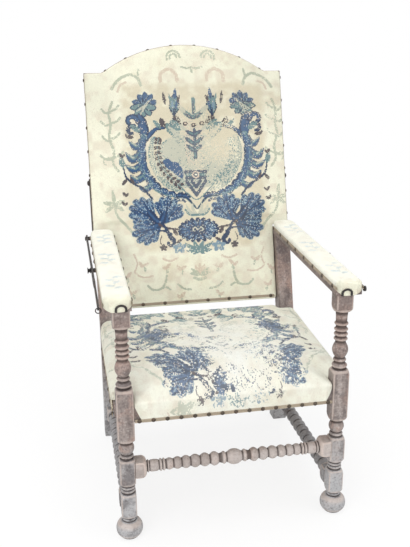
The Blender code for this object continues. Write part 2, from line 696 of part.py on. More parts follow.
rail_half = stile_low - SEAT_GAP
low, high = wood, BOTTOM_RAIL
bottom = in_panel([(-rail_half, low), (rail_half, low), (rail_half, high), (-rail_half, high)])
solid("back_rail_bottom", prism(bottom, *thick, "Y"), WOOD, back)
rail_half = stile_wide - SEAT_GAP
low = BACK_STEP + MIDDLE_RAIL_ABOVE_STEP
high = low + MIDDLE_RAIL
middle = in_panel([(-rail_half, low), (rail_half, low), (rail_half, high), (-rail_half, high)])
solid("back_rail_middle", prism(middle, *thick, "Y"), WOOD, back)
arch = [point for point in panel_outline(wood)[4:-4]]
shoulder = BACK_SHOULDER - wood
low = ARCH_PEAK - TOP_RAIL
top = [(-rail_half, low), (rail_half, low), (rail_half, shoulder)] + arch + [(-rail_half, shoulder)]
solid("back_rail_top", prism(in_panel(top), *thick, "Y"), WOOD, back)
cloth_face = thick[1] + SEAT_GAP
solid("back_cloth", prism(in_panel(panel_outline(wood)), cloth_face, cloth_face + 0.0015, "Y"), LINEN, back)

# Braid along the lower edge of the front, and round the sides and arch
low = 0.0055
strip = box((-BACK_LOW_HALF + 0.010, -HINGE_THROUGH - SEAT_GAP - 0.0005 - BRAID_THICK, low - HINGE_ALONG),
            (BACK_LOW_HALF - 0.010, -HINGE_THROUGH - SEAT_GAP - 0.0005, low + BRAID_WIDTH - HINGE_ALONG))
row = [(x, low + BRAID_WIDTH / 2 - HINGE_ALONG) for x in spread(-BACK_LOW_HALF + 0.02, BACK_LOW_HALF - 0.02)]
to_front = Matrix(((1, 0, 0, 0), (0, 0, -1, -HINGE_THROUGH - SEAT_GAP - 0.0005 - BRAID_THICK), (0, 1, 0, 0),
                   (0, 0, 0, 1)))
nailed_strip("back_braid_bottom", strip, nails(row), to_front, back)

inside, outside = panel_outline(-SEAT_GAP)[2:-2], panel_outline(-SEAT_GAP - BRAID_THICK)[2:-2]
edge_low = BACK_STEP + 0.004
inside[0], inside[-1] = (inside[0][0], edge_low), (inside[-1][0], edge_low)
outside[0], outside[-1] = (outside[0][0], edge_low), (outside[-1][0], edge_low)
near, far = 0.005 - HINGE_THROUGH, 0.005 + BRAID_WIDTH - HINGE_THROUGH
edge = solid("back_braid_edge", prism(in_panel(outside + inside[::-1]), near, far, "Y"), BRAID, back)
face = BACK_HALF + SEAT_GAP + BRAID_THICK
row = [((near + far) / 2, z - HINGE_ALONG) for z in spread(edge_low + 0.03, BACK_SHOULDER - 0.02)]
for name, side in SIDES:
    heads = nails(row)
    heads.transform(Matrix(((0, 0, side, side * face), (1, 0, 0, 0), (0, 1, 0, 0), (0, 0, 0, 1))))
    combine(edge, heads, "UNION")
crown_radius = ARCH_RADIUS + SEAT_GAP + BRAID_THICK * 0.8
centre = ARCH_PEAK - ARCH_RADIUS - HINGE_ALONG
foot = math.asin((BACK_SHOULDER - centre - HINGE_ALONG) / ARCH_RADIUS)
for angle in spread(foot + 0.03, math.pi - foot - 0.03, NAIL_PITCH / ARCH_RADIUS):
    heads = nails([(0.0, 0.0)])
    turn = Matrix.Rotation(math.pi / 2 - angle, 4, "Y")
    heads.transform(Matrix.Translation((0, (near + far) / 2, centre)) @ turn @ Matrix.Translation(
        (0, 0, crown_radius)))
    combine(edge, heads, "UNION")


# Iron straps on the sides of the back, whose lower ends carry the stays

for name, side in SIDES:
    half_turn = [math.pi * i / 6 for i in range(7)]
    over = [(STAY_THROUGH + STRAP_HALF * math.cos(a), STRAP_TOP + STRAP_HALF * math.sin(a))
            for a in half_turn]
    under = [(STAY_THROUGH - 0.009 * math.cos(a), STAY_ALONG - 0.009 * math.sin(a)) for a in half_turn]
    shape = [(y - HINGE_THROUGH, z - HINGE_ALONG) for y, z in over + under]
    face = BACK_HALF + SEAT_GAP
    low, high = sorted((side * face, side * (face + STRAP_THICK)))
    solid(f"back_strap_{name}", prism(shape, low, high), IRON, back)
    outer = face + STRAP_THICK + SEAT_GAP
    stud = lathe([(0.0, 0.0085, 0), (0.0015, 0.0085, 0), (0.004, 0.0065, 0), (0.0055, 0.003, 0)])
    solid(f"strap_stud_{name}", across(stud, side, outer, STAY_THROUGH - HINGE_THROUGH,
                                       STRAP_TOP - 0.008 - HINGE_ALONG), IRON, back)
    inner_face, outer_face = STAY_X - STAY_THICK / 2 - outer, STAY_X + STAY_THICK / 2 - outer
    rivet = [(0.0, COLLAR_RADIUS), (inner_face - RUNNING_GAP, COLLAR_RADIUS),
             (inner_face - RUNNING_GAP, PEG_RADIUS), (outer_face + RUNNING_GAP, PEG_RADIUS),
             (outer_face + RUNNING_GAP, 0.0075), (outer_face + 0.0028, 0.0062), (outer_face + 0.0038, 0.003)]
    rivet = lathe([(x, r, 0) for x, r in rivet], 12)
    solid(f"stay_rivet_{name}", across(rivet, side, outer, STAY_THROUGH - HINGE_THROUGH,
                                       STAY_ALONG - HINGE_ALONG), IRON, back)


# Stays: flat bars whose slot follows the spool as the back leans down


def turned_about(point, centre, angle):
    """Point turned about the X axis through a centre, with positive angles leaning it backwards."""
    return centre + Matrix.Rotation(-angle, 3, "X") @ (point - centre)


def heading(frm, to):
    return math.atan2(to.z - frm.z, frm.y - to.y)


pivot_down = turned_about(STAY_PIVOT, HINGE, RECLINE)
STAY_TURN = (heading(pivot_down, PEG) - heading(STAY_PIVOT, PEG)) / RECLINE
print(f"stay turns {STAY_TURN - 1:.5f} of the back's lean, relative to the back")


def spool_path(angle):
    """Place of the spool seen from the stay, as (forwards, up) from the stay's own rivet."""
    pivot = turned_about(STAY_PIVOT, HINGE, angle)
    seen = turned_about(PEG, pivot, -STAY_TURN * angle) - pivot
    return Vector((-seen.y, seen.z))


PATH = [spool_path(RECLINE * i / 16) for i in range(17)]
FAR_AWAY = Vector((math.cos(TAIL_FALL), -math.sin(TAIL_FALL)))
LINE = PATH + [PATH[-1] + (PATH[-1] - PATH[-2]).normalized() * TAIL_START]
for i in range(1, 7):
    LINE.append(LINE[-1] + (PATH[-1] - PATH[-2]).normalized().slerp(FAR_AWAY, i / 7) * TAIL_BEND / 6)


def centre_line(s):
    """Point and direction on the stay's middle line, s from the rivet."""
    if s <= PATH[0].length:
        return PATH[0].normalized() * s, PATH[0].normalized()
    gone = PATH[0].length
    for a, b in zip(LINE, LINE[1:]):
        step = (b - a).length
        if s <= gone + step:
            return a + (b - a) * ((s - gone) / step), (b - a).normalized()
        gone += step
    return LINE[-1] + FAR_AWAY * (s - gone), FAR_AWAY


SLOT_HALF = PEG_RADIUS + SLOT_PLAY
SLOT_START = PATH[0].length
SLOT_END = SLOT_START + sum((b - a).length for a, b in zip(PATH, PATH[1:]))


def smooth(s, start, length):
    share = min(max((s - start) / length, 0.0), 1.0)
    return share * share * (3 - 2 * share)


def edge_of(s, up):
    """Half height of the stay above (up 1) or below (up -1) its middle line."""
    if s < STAY_END * 0.8:
        return math.sqrt(max(STAY_END ** 2 - s * s, 0.0))
    if s > TAIL_LENGTH - EYE_RADIUS:
        return math.sqrt(max(EYE_RADIUS ** 2 - (s - TAIL_LENGTH) ** 2, 0.0))
    slotted = SLOT_HALF + 0.003 + (NOTCH_DEPTH if up > 0 else 0.0)
    size = STAY_HALF + (slotted - STAY_HALF) * smooth(s, SLOT_START - 0.045, 0.03)
    return size + (TAIL_HALF - size) * smooth(s, SLOT_END + TAIL_START, 0.02)


def stay_outline():
    stops = [-STAY_END * math.cos(math.pi * i / 8) for i in range(5)]
    stops += [STAY_END * share for share in (0.35, 0.7, 0.82)] + [STAY_END * 1.7, SLOT_START / 2]
    stops += [SLOT_START - 0.045 + 0.03 * i / 4 for i in range(5)]
    stops += [SLOT_START + (SLOT_END - SLOT_START) * i / 6 for i in range(7)]
    stops += [SLOT_END + TAIL_START + TAIL_BEND * (i + 0.5) / 6 for i in range(6)]
    stops += [TAIL_LENGTH - EYE_RADIUS * c for c in (0.9, 0.6, 0.3, 0.0, -0.4, -0.75, -0.95, -1.0)]
    upper, lower = [], []
    for s in stops:
        point, along = centre_line(s)
        across_way = Vector((-along.y, along.x))
        for up, side_points in ((1, upper), (-1, lower)):
            side_points.append(point + across_way * up * edge_of(s, up))
    return upper[::-1][1:] + lower[1:]


def slot_outline():
    """Slot with a row of notches along its upper edge."""
    pitch = (SLOT_END - SLOT_START) / (NOTCHES - 1)
    upper, lower = [], []
    steps = 8 * (NOTCHES - 1)
    for i in range(-4, steps + 5):
        if i < 0:
            s = SLOT_START - SLOT_HALF * math.sin(math.pi / 2 * -i / 4)
        elif i > steps:
            s = SLOT_END + SLOT_HALF * math.sin(math.pi / 2 * (i - steps) / 4)
        else:
            nearest = round(i / 8)
            s = SLOT_START + pitch * nearest + SLOT_HALF * {-4: -2.2, -3: -1.0, -2: -0.75, -1: -0.4, 0: 0.0,
                                                            1: 0.4, 2: 0.75, 3: 1.0, 4: 2.2}[i - 8 * nearest]
        out = max(SLOT_START - s, s - SLOT_END, 0.0)
        base = math.sqrt(max(SLOT_HALF ** 2 - out ** 2, 0.0))
        away = min(abs(s - SLOT_START - pitch * k) for k in range(NOTCHES))
        notch = NOTCH_DEPTH + math.sqrt(max(SLOT_HALF ** 2 - away ** 2, 0.0)) if away < SLOT_HALF else 0.0
        point, along = centre_line(s)
        across_way = Vector((-along.y, along.x))
        upper.append(point + across_way * max(base, notch))
        if base > 1e-5:
            lower.append(point - across_way * base)
    return upper[::-1] + lower


def round_hole(radius, centre, sides=16):
    return [centre + Vector((math.cos(math.tau * i / sides), math.sin(math.tau * i / sides))) * radius
            for i in range(sides)]


def plate(outline, openings, low, high):
    """Flat bar with openings, from (forwards, up) pairs, which point along -Y and Z."""
    loops = [outline, *openings]
    bm = bmesh.new()
    faces = []
    for x in (low, high):
        faces.append([[bm.verts.new((x, -point[0], point[1])) for point in loop] for loop in loops])
    for near, far in zip(*faces):
        for i in range(len(near)):
            bm.faces.new((near[i - 1], near[i], far[i], far[i - 1]))
    in_millimetres = [[Vector((point[0], point[1], 0.0)) * 1000 for point in loop] for loop in loops]
    for corners in tessellate_polygon(in_millimetres):
        for face in faces:
            points = [point for loop in face for point in loop]
            bm.faces.new([points[corner] for corner in corners])
    return bm


for name, side in SIDES:
    rivet_place = (0.0, STAY_THROUGH - HINGE_THROUGH, STAY_ALONG - HINGE_ALONG)
    stay = empty(f"stay_axis_{name}", rivet_place, back, LEAN)
    low, high = sorted((side * (STAY_X - STAY_THICK / 2), side * (STAY_X + STAY_THICK / 2)))
    eye, _ = centre_line(TAIL_LENGTH)
    openings = [slot_outline(), round_hole(PEG_RADIUS + SEAT_GAP, Vector((0.0, 0.0))),
                round_hole(EYE_HOLE, eye)]
    solid(f"stay_bar_{name}", plate(stay_outline(), openings, low, high), IRON, stay)
    if side > 0:
        continue
    drop = EYE_HOLE - RING_WIRE - 0.0009
    ring_axis = empty("ring_axis", (STAY_X * side, -eye.x, eye.y - drop), stay)
    bm = bmesh.new()
    loops = []
    for i in range(20):
        turn = Matrix.Rotation(math.tau * i / 20, 4, "Y")
        loop = []
        for j in range(8):
            angle = math.tau * j / 8
            spot = Vector((0.0, RING_WIRE * math.sin(angle), RING_RADIUS + RING_WIRE * math.cos(angle)))
            loop.append(bm.verts.new(turn @ spot + Vector((0, 0, -RING_RADIUS))))
        loops.append(loop)
    for one, two in zip(loops, loops[1:] + loops[:1]):
        for j in range(8):
            k = (j + 1) % 8
            bm.faces.new((one[j], one[k], two[k], two[j]))
    solid("stay_ring", bm, IRON, ring_axis)
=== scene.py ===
"""Invalid chair: looks of a turned armchair with worn blue needlework and a back that leans down."""

import math

import bmesh
import bpy
import numpy as np
from mathutils import Matrix, Vector


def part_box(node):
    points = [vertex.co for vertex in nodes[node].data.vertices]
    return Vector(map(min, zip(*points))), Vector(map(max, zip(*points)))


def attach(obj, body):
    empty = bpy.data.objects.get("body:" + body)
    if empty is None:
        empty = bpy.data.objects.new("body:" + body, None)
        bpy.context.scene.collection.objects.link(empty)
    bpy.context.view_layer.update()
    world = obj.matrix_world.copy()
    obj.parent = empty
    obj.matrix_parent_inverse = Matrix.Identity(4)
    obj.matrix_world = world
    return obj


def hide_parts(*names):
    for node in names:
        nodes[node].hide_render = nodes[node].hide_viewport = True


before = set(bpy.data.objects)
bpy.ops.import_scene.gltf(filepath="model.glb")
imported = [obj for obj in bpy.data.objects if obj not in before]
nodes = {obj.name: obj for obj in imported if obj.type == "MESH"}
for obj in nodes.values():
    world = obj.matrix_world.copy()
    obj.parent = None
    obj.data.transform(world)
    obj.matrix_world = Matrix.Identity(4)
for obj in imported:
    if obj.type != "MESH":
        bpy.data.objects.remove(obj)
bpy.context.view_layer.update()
scene = bpy.context.scene
scene.view_settings.view_transform = "Standard"


# Stage: a pale floor and surround in soft light, with the camera in front of the left arm, about as high
# as the back. The floor glows for the camera, so it stays white and still keeps the chair's shadow.

FLOOR_HALF = 9.0
FLOOR_GLOW = 0.82
SHADOW_FULL = 0.45
SHADOW_GONE = 1.5
SURROUND_LIGHT = 0.69
LAMPS = (
    # name, place, aim, width, power
    ("window", (-1.6, -2.6, 2.2), (0.0, 0.0, 0.5), 2.4, 55.0),
    ("room", (2.6, -2.0, 1.9), (0.0, 0.0, 0.5), 2.6, 24.0),
    ("ceiling", (-0.2, -0.1, 3.6), (-0.1, -0.2, 0.0), 2.8, 50.0))
CAMERA_PLACE = (-0.39552, -2.01338, 1.2282)
CAMERA_HEADING = math.radians(-11.007)
CAMERA_TILT = math.radians(72.83)
CAMERA_ROLL = math.radians(-0.435)
CAMERA_LENS = 48.136
CAMERA_SENSOR = 36.0
WHITE = (1, 1, 1, 1)


class Wire:
    """Output of a node. Sums written with it add Math nodes."""

    def __init__(self, owner, socket):
        self.owner = owner
        self.socket = socket

    def _sum(self, operation, one, two):
        return self.owner.node("ShaderNodeMath", {"operation": operation}, {0: one, 1: two})

    def __add__(self, other):
        return self._sum("ADD", self, other)

    def __radd__(self, other):
        return self._sum("ADD", other, self)

    def __sub__(self, other):
        return self._sum("SUBTRACT", self, other)

    def __rsub__(self, other):
        return self._sum("SUBTRACT", other, self)

    def __mul__(self, other):
        return self._sum("MULTIPLY", self, other)

    def __rmul__(self, other):
        return self._sum("MULTIPLY", other, self)

    def wave(self):
        return self._sum("SINE", self, 0.0)

    def size(self):
        return self._sum("ABSOLUTE", self, 0.0)

    def part(self):
        return self._sum("FRACT", self, 0.0)

    def most(self, other):
        return self._sum("MAXIMUM", self, other)


class Nodes:
    """A node tree, and the one way in which nodes are added to it."""

    def __init__(self, tree):
        self.tree = tree

    def node(self, kind, settings=None, inputs=None, out=0):
        made = self.tree.nodes.new(kind)
        for key, value in (settings or {}).items():
            if key == "stops":
                stops = made.color_ramp.elements
                while len(stops) < len(value):
                    stops.new(1.0)
                for stop, (place, colour) in zip(stops, value):
                    stop.position = place
                    stop.color = colour
            else:
                setattr(made, key, value)
        for key, value in (inputs or {}).items():
            self.join(value, made.inputs[key])
        return Wire(self, made.outputs[out])

    def join(self, value, socket):
        if isinstance(value, Wire):
            self.tree.links.new(value.socket, socket)
        else:
            socket.default_value = value


class Finish(Nodes):
    """One material."""

    def __init__(self, name):
        self.material = bpy.data.materials.new(name)
        self.material.use_nodes = True
        super().__init__(self.material.node_tree)
        self.shader = self.tree.nodes["Principled BSDF"]

    def place(self):
        return self.node("ShaderNodeTexCoord", None, None, "Object")

    def axis(self, place, number):
        return self.node("ShaderNodeSeparateXYZ", None, {0: place}, number)

    def scaled(self, place, scale):
        return self.node("ShaderNodeMapping", None, {"Vector": place, "Scale": scale})

    def mix(self, share, one, two, blend="MIX"):
        return self.node("ShaderNodeMix", {"data_type": "RGBA", "blend_type": blend},
                         {0: share, 6: one, 7: two}, 2)

    def spots(self, place, scale, detail=3.0, rough=0.5):
        return self.node("ShaderNodeTexNoise", None, {
            "Vector": place, "Scale": scale, "Detail": detail, "Roughness": rough})

    def between(self, value, low, high):
        """Rises from 0 to 1 as the value goes from low to high."""
        return self.node("ShaderNodeMapRange", {"interpolation_type": "SMOOTHSTEP"},
                         {"Value": value, "From Min": low, "From Max": high})

    def relief(self, height, depth):
        return self.node("ShaderNodeBump", None, {"Height": height, "Distance": depth, "Strength": 1.0})

    def coat(self, **values):
        for key, value in values.items():
            self.join(value, self.shader.inputs[key.replace("_", " ")])
        return self.material


def dye(red, green, blue):
    """Colour as seen on a screen, from 0 to 255, as the light it gives back."""
    light = []
    for value in (red, green, blue):
        value /= 255
        light.append(value / 12.92 if value <= 0.04045 else ((value + 0.055) / 1.055) ** 2.4)
    return (*light, 1.0)


def mesh_piece(name, bm):
    mesh = bpy.data.meshes.new(name)
    bm.to_mesh(mesh)
    bm.free()
    piece = bpy.data.objects.new(name, mesh)
    scene.collection.objects.link(piece)
    return piece


bm = bmesh.new()
bmesh.ops.create_grid(bm, x_segments=4, y_segments=4, size=FLOOR_HALF)
floor = mesh_piece("floor", bm)
finish = Finish("pale floor")
place = finish.place()
grain = finish.spots(place, 6.0)
finish.coat(Base_Color=finish.mix(grain, (0.86, 0.86, 0.86, 1), (0.9, 0.9, 0.89, 1)), Roughness=0.8)
glow = finish.node("ShaderNodeEmission", None, {"Color": WHITE, "Strength": 1.0})
seen = finish.node("ShaderNodeLightPath", None, None, "Is Camera Ray")
mirrored = finish.node("ShaderNodeLightPath", None, None, "Is Glossy Ray")
away = finish.node("ShaderNodeVectorMath", {"operation": "LENGTH"}, {0: place}, "Value")
share = finish.between(away, SHADOW_FULL, SHADOW_GONE) * (1 - FLOOR_GLOW) + FLOOR_GLOW
bare = Wire(finish, finish.shader.outputs[0])
lit = finish.node("ShaderNodeMixShader", None, {0: seen.most(mirrored) * share, 1: bare, 2: glow})
finish.join(lit, finish.tree.nodes["Material Output"].inputs["Surface"])
floor.data.materials.append(finish.material)

scene.world = bpy.data.worlds.new("surround")
scene.world.use_nodes = True
surround = Nodes(scene.world.node_tree)
seen = surround.node("ShaderNodeLightPath", None, None, "Is Camera Ray")
mirrored = surround.node("ShaderNodeLightPath", None, None, "Is Glossy Ray")
strength = surround.node("ShaderNodeMapRange", None, {
    "Value": seen.most(mirrored), "To Min": SURROUND_LIGHT, "To Max": 1.0})
background = surround.tree.nodes["Background"]
surround.join(WHITE, background.inputs["Color"])
surround.join(strength, background.inputs["Strength"])

for name, spot, aim, width, power in LAMPS:
    lamp = bpy.data.lights.new(name, "AREA")
    lamp.size = width
    lamp.energy = power
    holder = bpy.data.objects.new(name, lamp)
    holder.location = spot
    holder.rotation_euler = (Vector(aim) - Vector(spot)).to_track_quat("-Z", "Y").to_euler()
    scene.collection.objects.link(holder)

camera = bpy.data.objects.new("camera", bpy.data.cameras.new("camera"))
camera.data.lens = CAMERA_LENS
camera.data.sensor_width = CAMERA_SENSOR
camera.matrix_world = (Matrix.Translation(CAMERA_PLACE)
                       @ Matrix.Rotation(CAMERA_HEADING, 4, "Z")
                       @ Matrix.Rotation(CAMERA_TILT, 4, "X")
                       @ Matrix.Rotation(CAMERA_ROLL, 4, "Z"))
scene.collection.objects.link(camera)
scene.camera = camera


# Front legs: turned from square oak, with blocks left square where rails and stretchers go in.
# The wood is dry and grey, with dirt in the hollows, pale rubbed crests and a painted highlight along the
# arrises of the square blocks.

LEG_X = 0.281
LEG_Y = -0.360263
LEG_HALF = 0.0215
LOW_HALF = 0.0198
ARM_UNDER = 0.633
ARM_RISE = math.radians(2.55)
CORNER = 1.375
SHOULDER = 0.015
SEAM = 0.0003
HOLLOW_REACH = 0.008
HOLLOW_DEPTH = 0.0028


def wood(name, grain, hollows=False, light_and_shade_share=0.0, light_and_shade_colour=dye(206, 190, 180)):
    """Dry oak whose fibres run along one axis: 0, 1 or 2. A share of it may be mixed with a paler colour as
    painted light, or with a darker one as painted shade.
    """
    finish = Finish(name)
    place = finish.place()
    fine = [420.0, 420.0, 420.0]
    fine[grain] = 14.0
    broad = [46.0, 46.0, 46.0]
    broad[grain] = 3.2
    fibre = finish.spots(finish.scaled(place, fine), 1.0, 4.0, 0.6)
    growth = finish.spots(finish.scaled(place, broad), 1.0, 5.0, 0.62)
    blotch = finish.spots(place, 21.0, 4.0, 0.6)
    smoke = finish.spots(place, 13.0, 6.0, 0.66)
    grime = finish.spots(place, 150.0, 6.0, 0.7)
    height = finish.axis(place, 2) + (blotch - 0.5) * 0.2
    colour = finish.node("ShaderNodeValToRGB", {"stops": [
        (0.28, dye(86, 78, 76)), (0.42, dye(120, 109, 105)), (0.56, dye(150, 139, 134)),
        (0.72, dye(184, 175, 170))]}, {"Fac": growth * 0.65 + blotch * 0.35})
    for mask, low, high, share, shade in (
            (blotch, 0.5, 0.68, 0.5, dye(158, 124, 110)),
            (height, 0.4, 0.52, 0.35, dye(158, 126, 112)),
            (height, 0.32, 0.08, 0.75, dye(176, 178, 181)),
            (height, 0.56, 0.62, 0.5, dye(98, 92, 92)),
            (smoke, 0.5, 0.62, 0.6, dye(82, 75, 76)),
            (fibre, 0.36, 0.24, 0.5, dye(74, 64, 60)),
            (grime, 0.49, 0.38, 0.45, dye(66, 58, 56)),
            (grime, 0.54, 0.66, 0.35, dye(200, 194, 188))):
        colour = finish.mix(finish.between(mask, low, high) * share, colour, shade)
    # Painted light and shade: a share of a paler colour on a lit piece, and of a darker one on a shaded
    # piece.
    colour = finish.mix(light_and_shade_share, colour, light_and_shade_colour)
    rough = growth * 0.22 + 0.42
    if hollows:
        depth = finish.node("ShaderNodeAttribute", {"attribute_name": "hollow"}, None, "Fac")
        # Paler below zero: worn crests, and a painted highlight on the arrises of the square blocks. Darker
        # in the hollows, where dirt sits.
        rubbed = finish.between(depth + (blotch - 0.5) * 0.5, -0.25, -0.9)
        dirt = finish.between(depth + (blotch - 0.5) * 0.7, 0.05, 0.7)
        colour = finish.mix(rubbed * 0.5, colour, dye(200, 184, 174))
        colour = finish.mix(dirt * 0.8, colour, dye(58, 48, 45))
        rough = rough + dirt * 0.2
    bump = finish.relief(fibre * 0.35 + growth * 0.5 + blotch * 0.4, 0.0009)
    return finish.coat(Base_Color=colour, Roughness=rough, Normal=bump, Specular_IOR_Level=0.35)


def bead(low, high, neck, radius, steps=9):
    """Rounded bead between two necks, without its last ring."""
    return [(low + (high - low) * i / steps, neck + (radius - neck) * math.sin(math.pi * i / steps), 0)
            for i in range(steps)]


def block(low, high, half, neck, square_low=False, square_high=False):
    """Length left square, with shoulders cut round where the turning starts."""
    corner = half * CORNER
    reach = min(SHOULDER, (high - low) * 0.6)
    angles = [math.pi / 2 * i / 9 for i in range(10)]
    over = [(reach * (1 - math.cos(a)), neck + (corner - neck) * math.sin(a)) for a in angles]
    rings = [(low, corner, half)] if square_low else [(low + z, r, half) for z, r in over]
    rings += [(high, corner, half)] if square_high else [(high - z, r, half) for z, r in reversed(over)]
    return rings


def lofted(bm, loops):
    """Closed skin over loops with the same number of points. Gives back the faces of its sides."""
    sides = []
    count = len(loops[0])
    for one, two in zip(loops, loops[1:]):
        for i in range(count):
            j = (i + 1) % count
            sides.append(bm.faces.new((one[i], one[j], two[j], two[i])))
    bm.faces.new(loops[0][::-1])
    bm.faces.new(loops[-1])
    return sides


def turned(name, rings, to_place, sides=64, end_slope=0.0):
    """Lathe work closed at both ends. Each vertex keeps how far it lies below the turning round it, and the
    arrises of the square blocks are marked for a painted highlight.
    """
    size = [min(radius, half * 1.1) if half else radius for _, radius, half in rings]
    bm = bmesh.new()
    hollow = bm.verts.layers.float.new("hollow")
    loops = []
    for number, (z, radius, half) in enumerate(rings):
        near = [s for (other, _, _), s in zip(rings, size) if abs(other - z) < HOLLOW_REACH]
        sunk = (sum(near) / len(near) - size[number]) / HOLLOW_DEPTH
        loop = []
        for i in range(sides):
            angle = math.tau * (i + 0.5) / sides
            across, through = math.cos(angle), math.sin(angle)
            reach = min(radius, half / max(abs(across), abs(through))) if half else radius
            rise = end_slope * reach * through if number == len(rings) - 1 else 0.0
            vert = bm.verts.new((reach * across, reach * through, z + rise))
            # Arrises of the square blocks are marked below zero, so the wood is painted paler there: a
            # painted highlight.
            edge = 0.9 if half and reach > half * 1.3 else 0.0
            vert[hollow] = max(-1.0, min(1.0, sunk - edge))
            loop.append(vert)
        loops.append(loop)
    for face in lofted(bm, loops):
        face.smooth = True
    bm.transform(to_place)
    bmesh.ops.recalc_face_normals(bm, faces=bm.faces[:])
    piece = mesh_piece(name, bm)
    piece.data.set_sharp_from_angle(angle=math.radians(42))
    return piece


def fitted(piece, node_name, body, slot, *finishes):
    """Gives a piece its finishes, and puts it in the place of a plain one on the body that carries it."""
    for finish in finishes:
        piece.data.materials.append(finish)
    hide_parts(node_name)
    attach(piece, body)


def front_leg_rings():
    rings = [(0.0, 0.021, 0), (0.0015, 0.0235, 0)]
    for step in range(1, 18):
        angle = math.pi * (step / 18 - 0.5)
        rings.append((0.025 + 0.025 * math.sin(angle), max(0.035 * math.cos(angle) ** 0.6, 0.017), 0))
    rings = sorted(set(rings))
    rings += bead(0.050, 0.058, 0.016, 0.019)
    rings += block(0.060, 0.130, LOW_HALF, 0.0155)
    rings += bead(0.133, 0.1425, 0.0145, 0.019)
    rings += bead(0.1425, 0.152, 0.0145, 0.019)
    rings += block(0.155, 0.2295, LOW_HALF, 0.0155)
    rings += bead(0.2325, 0.2425, 0.014, 0.018)
    rings += bead(0.2425, 0.277, 0.0135, 0.0203, 14)
    rings += block(0.280, 0.426, LEG_HALF, 0.016)
    rings += bead(0.428, 0.444, 0.0135, 0.020)
    rings += bead(0.447, 0.457, 0.0125, 0.017)
    rings += bead(0.458, 0.502, 0.0125, 0.0207, 16)
    for middle in (0.510, 0.523, 0.536, 0.552):
        rings += bead(middle - 0.0055, middle + 0.0055, 0.0128, 0.0180)
    rings += [(0.559, 0.0145, 0), (0.572, 0.0150, 0), (0.584, 0.0160, 0)]
    top = ARM_UNDER + LEG_HALF * math.tan(ARM_RISE) - SEAM
    rings += block(0.586, top, LEG_HALF, 0.017, square_high=True)
    return rings


upright_wood = wood("oak upright", 2, True)
for name, side in (("left", -1), ("right", 1)):
    leg = turned(f"turned_leg_{name}", front_leg_rings(), Matrix.Translation((LEG_X * side, LEG_Y, 0.0)),
                 end_slope=math.tan(ARM_RISE))
    fitted(leg, f"front_leg_{name}", "frame", "wood", upright_wood)


# Stretchers: bobbin turned at the front and sides, plain at the rear, all tenoned into the legs.
# The front one has a ball in the middle.

ALONG_X = Matrix(((0, 0, 1, 0), (1, 0, 0, 0), (0, 1, 0, 0), (0, 0, 0, 1)))
ALONG_Y = Matrix(((1, 0, 0, 0), (0, 0, 1, 0), (0, 1, 0, 0), (0, 0, 0, 1)))
FRONT_BAR_Z = 0.1996
SIDE_BAR_Z = 0.095
BAR_HALF = 0.022
BAR_NECK = 0.0115
BOBBINS = 13
BLOCK_LENGTH = 0.034

half_rings = [(0.0, 0.0205, 0), (0.004, 0.0203, 0), (0.008, 0.0195, 0), (0.012, 0.0179, 0),
              (0.015, 0.016, 0), (0.018, 0.0142, 0), (0.021, 0.0125, 0)]
half_rings += bead(0.022, 0.034, 0.0125, 0.0165)
edges = [0.0405, 0.0655, 0.0913, 0.1168, 0.140, 0.1615, 0.1825]
for number, (low, high) in enumerate(zip(edges, edges[1:])):
    half_rings += bead(low, high, BAR_NECK, 0.0185 - 0.0006 * number, 12)
half_rings += bead(0.1825, 0.1905, 0.012, 0.0165)
half_rings += bead(0.1905, 0.199, 0.012, 0.0165)
half_rings += [(0.199, 0.0125, 0), (0.203, 0.0148, 0), (0.212, 0.0158, 0), (0.221, 0.0152, 0),
               (0.224, 0.0130, 0)]
half_rings += bead(0.2245, 0.2305, 0.0130, 0.0168)
half_rings += block(0.2315, LEG_X - LOW_HALF - SEAM, BAR_HALF, 0.0135, square_high=True)
rings = [(-z, r, half) for z, r, half in reversed(half_rings[1:])] + half_rings
# The front stretcher is painted paler, as painted light.
front_bar = turned("turned_front_stretcher", rings,
                   Matrix.Translation((0, LEG_Y, FRONT_BAR_Z)) @ ALONG_X)
fitted(front_bar, "front_stretcher", "frame", "wood", wood("oak across", 0, True, 0.35))

# The side stretchers are painted darker, as painted shade under the seat.
shaded_lengthwise_wood = wood("oak front to back", 1, True, 0.35, dye(84, 77, 76))
for name, side in (("left", -1), ("right", 1)):
    low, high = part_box(f"side_stretcher_{name}")
    length = high.y - low.y - 0.0025
    first, last = BLOCK_LENGTH, length - BLOCK_LENGTH
    rings = block(0.0, first - 0.002, BAR_HALF, 0.0125, square_low=True)
    for i in range(BOBBINS):
        start = first + (last - first) * i / BOBBINS
        rings += bead(start, start + (last - first) / BOBBINS, BAR_NECK, 0.0195)
    rings += [(last, BAR_NECK, 0)]
    rings += block(last + 0.002, length, BAR_HALF, 0.0125, square_high=True)
    bar = turned(f"turned_side_stretcher_{name}", rings,
                 Matrix.Translation((LEG_X * side, low.y, SIDE_BAR_Z)) @ ALONG_Y)
    fitted(bar, f"side_stretcher_{name}", "frame", "wood", shaded_lengthwise_wood)


# Rear posts, rails and the frame of the back: sawn and planed oak, tenoned and pegged.
# Their shape is right as it is, so they only take the wood's finish.

PLANED = {
    "upright": ("rear_leg_left", "rear_leg_right", "back_stile_left", "back_stile_right"),
    "across": ("rear_stretcher", "seat_rail_front", "seat_rail_rear", "back_rail_bottom",
               "back_rail_middle", "back_rail_top"),
    "front to back": ("seat_rail_left", "seat_rail_right", "arm_rail_left", "arm_rail_right"),
}


def coated(names, finish):
    """Plain pieces of the frame that only take a finish."""
    for name in names:
        nodes[name].data.materials.clear()
        nodes[name].data.materials.append(finish)


for way, grain in (("upright", 2), ("across", 0), ("front to back", 1)):
    coated(PLANED[way], wood(f"planed oak {way}", grain))


# Seat webbing: eight strips of jute web, plaited over and under and tacked to the rails.
# They carry the stuffing of the seat from below.

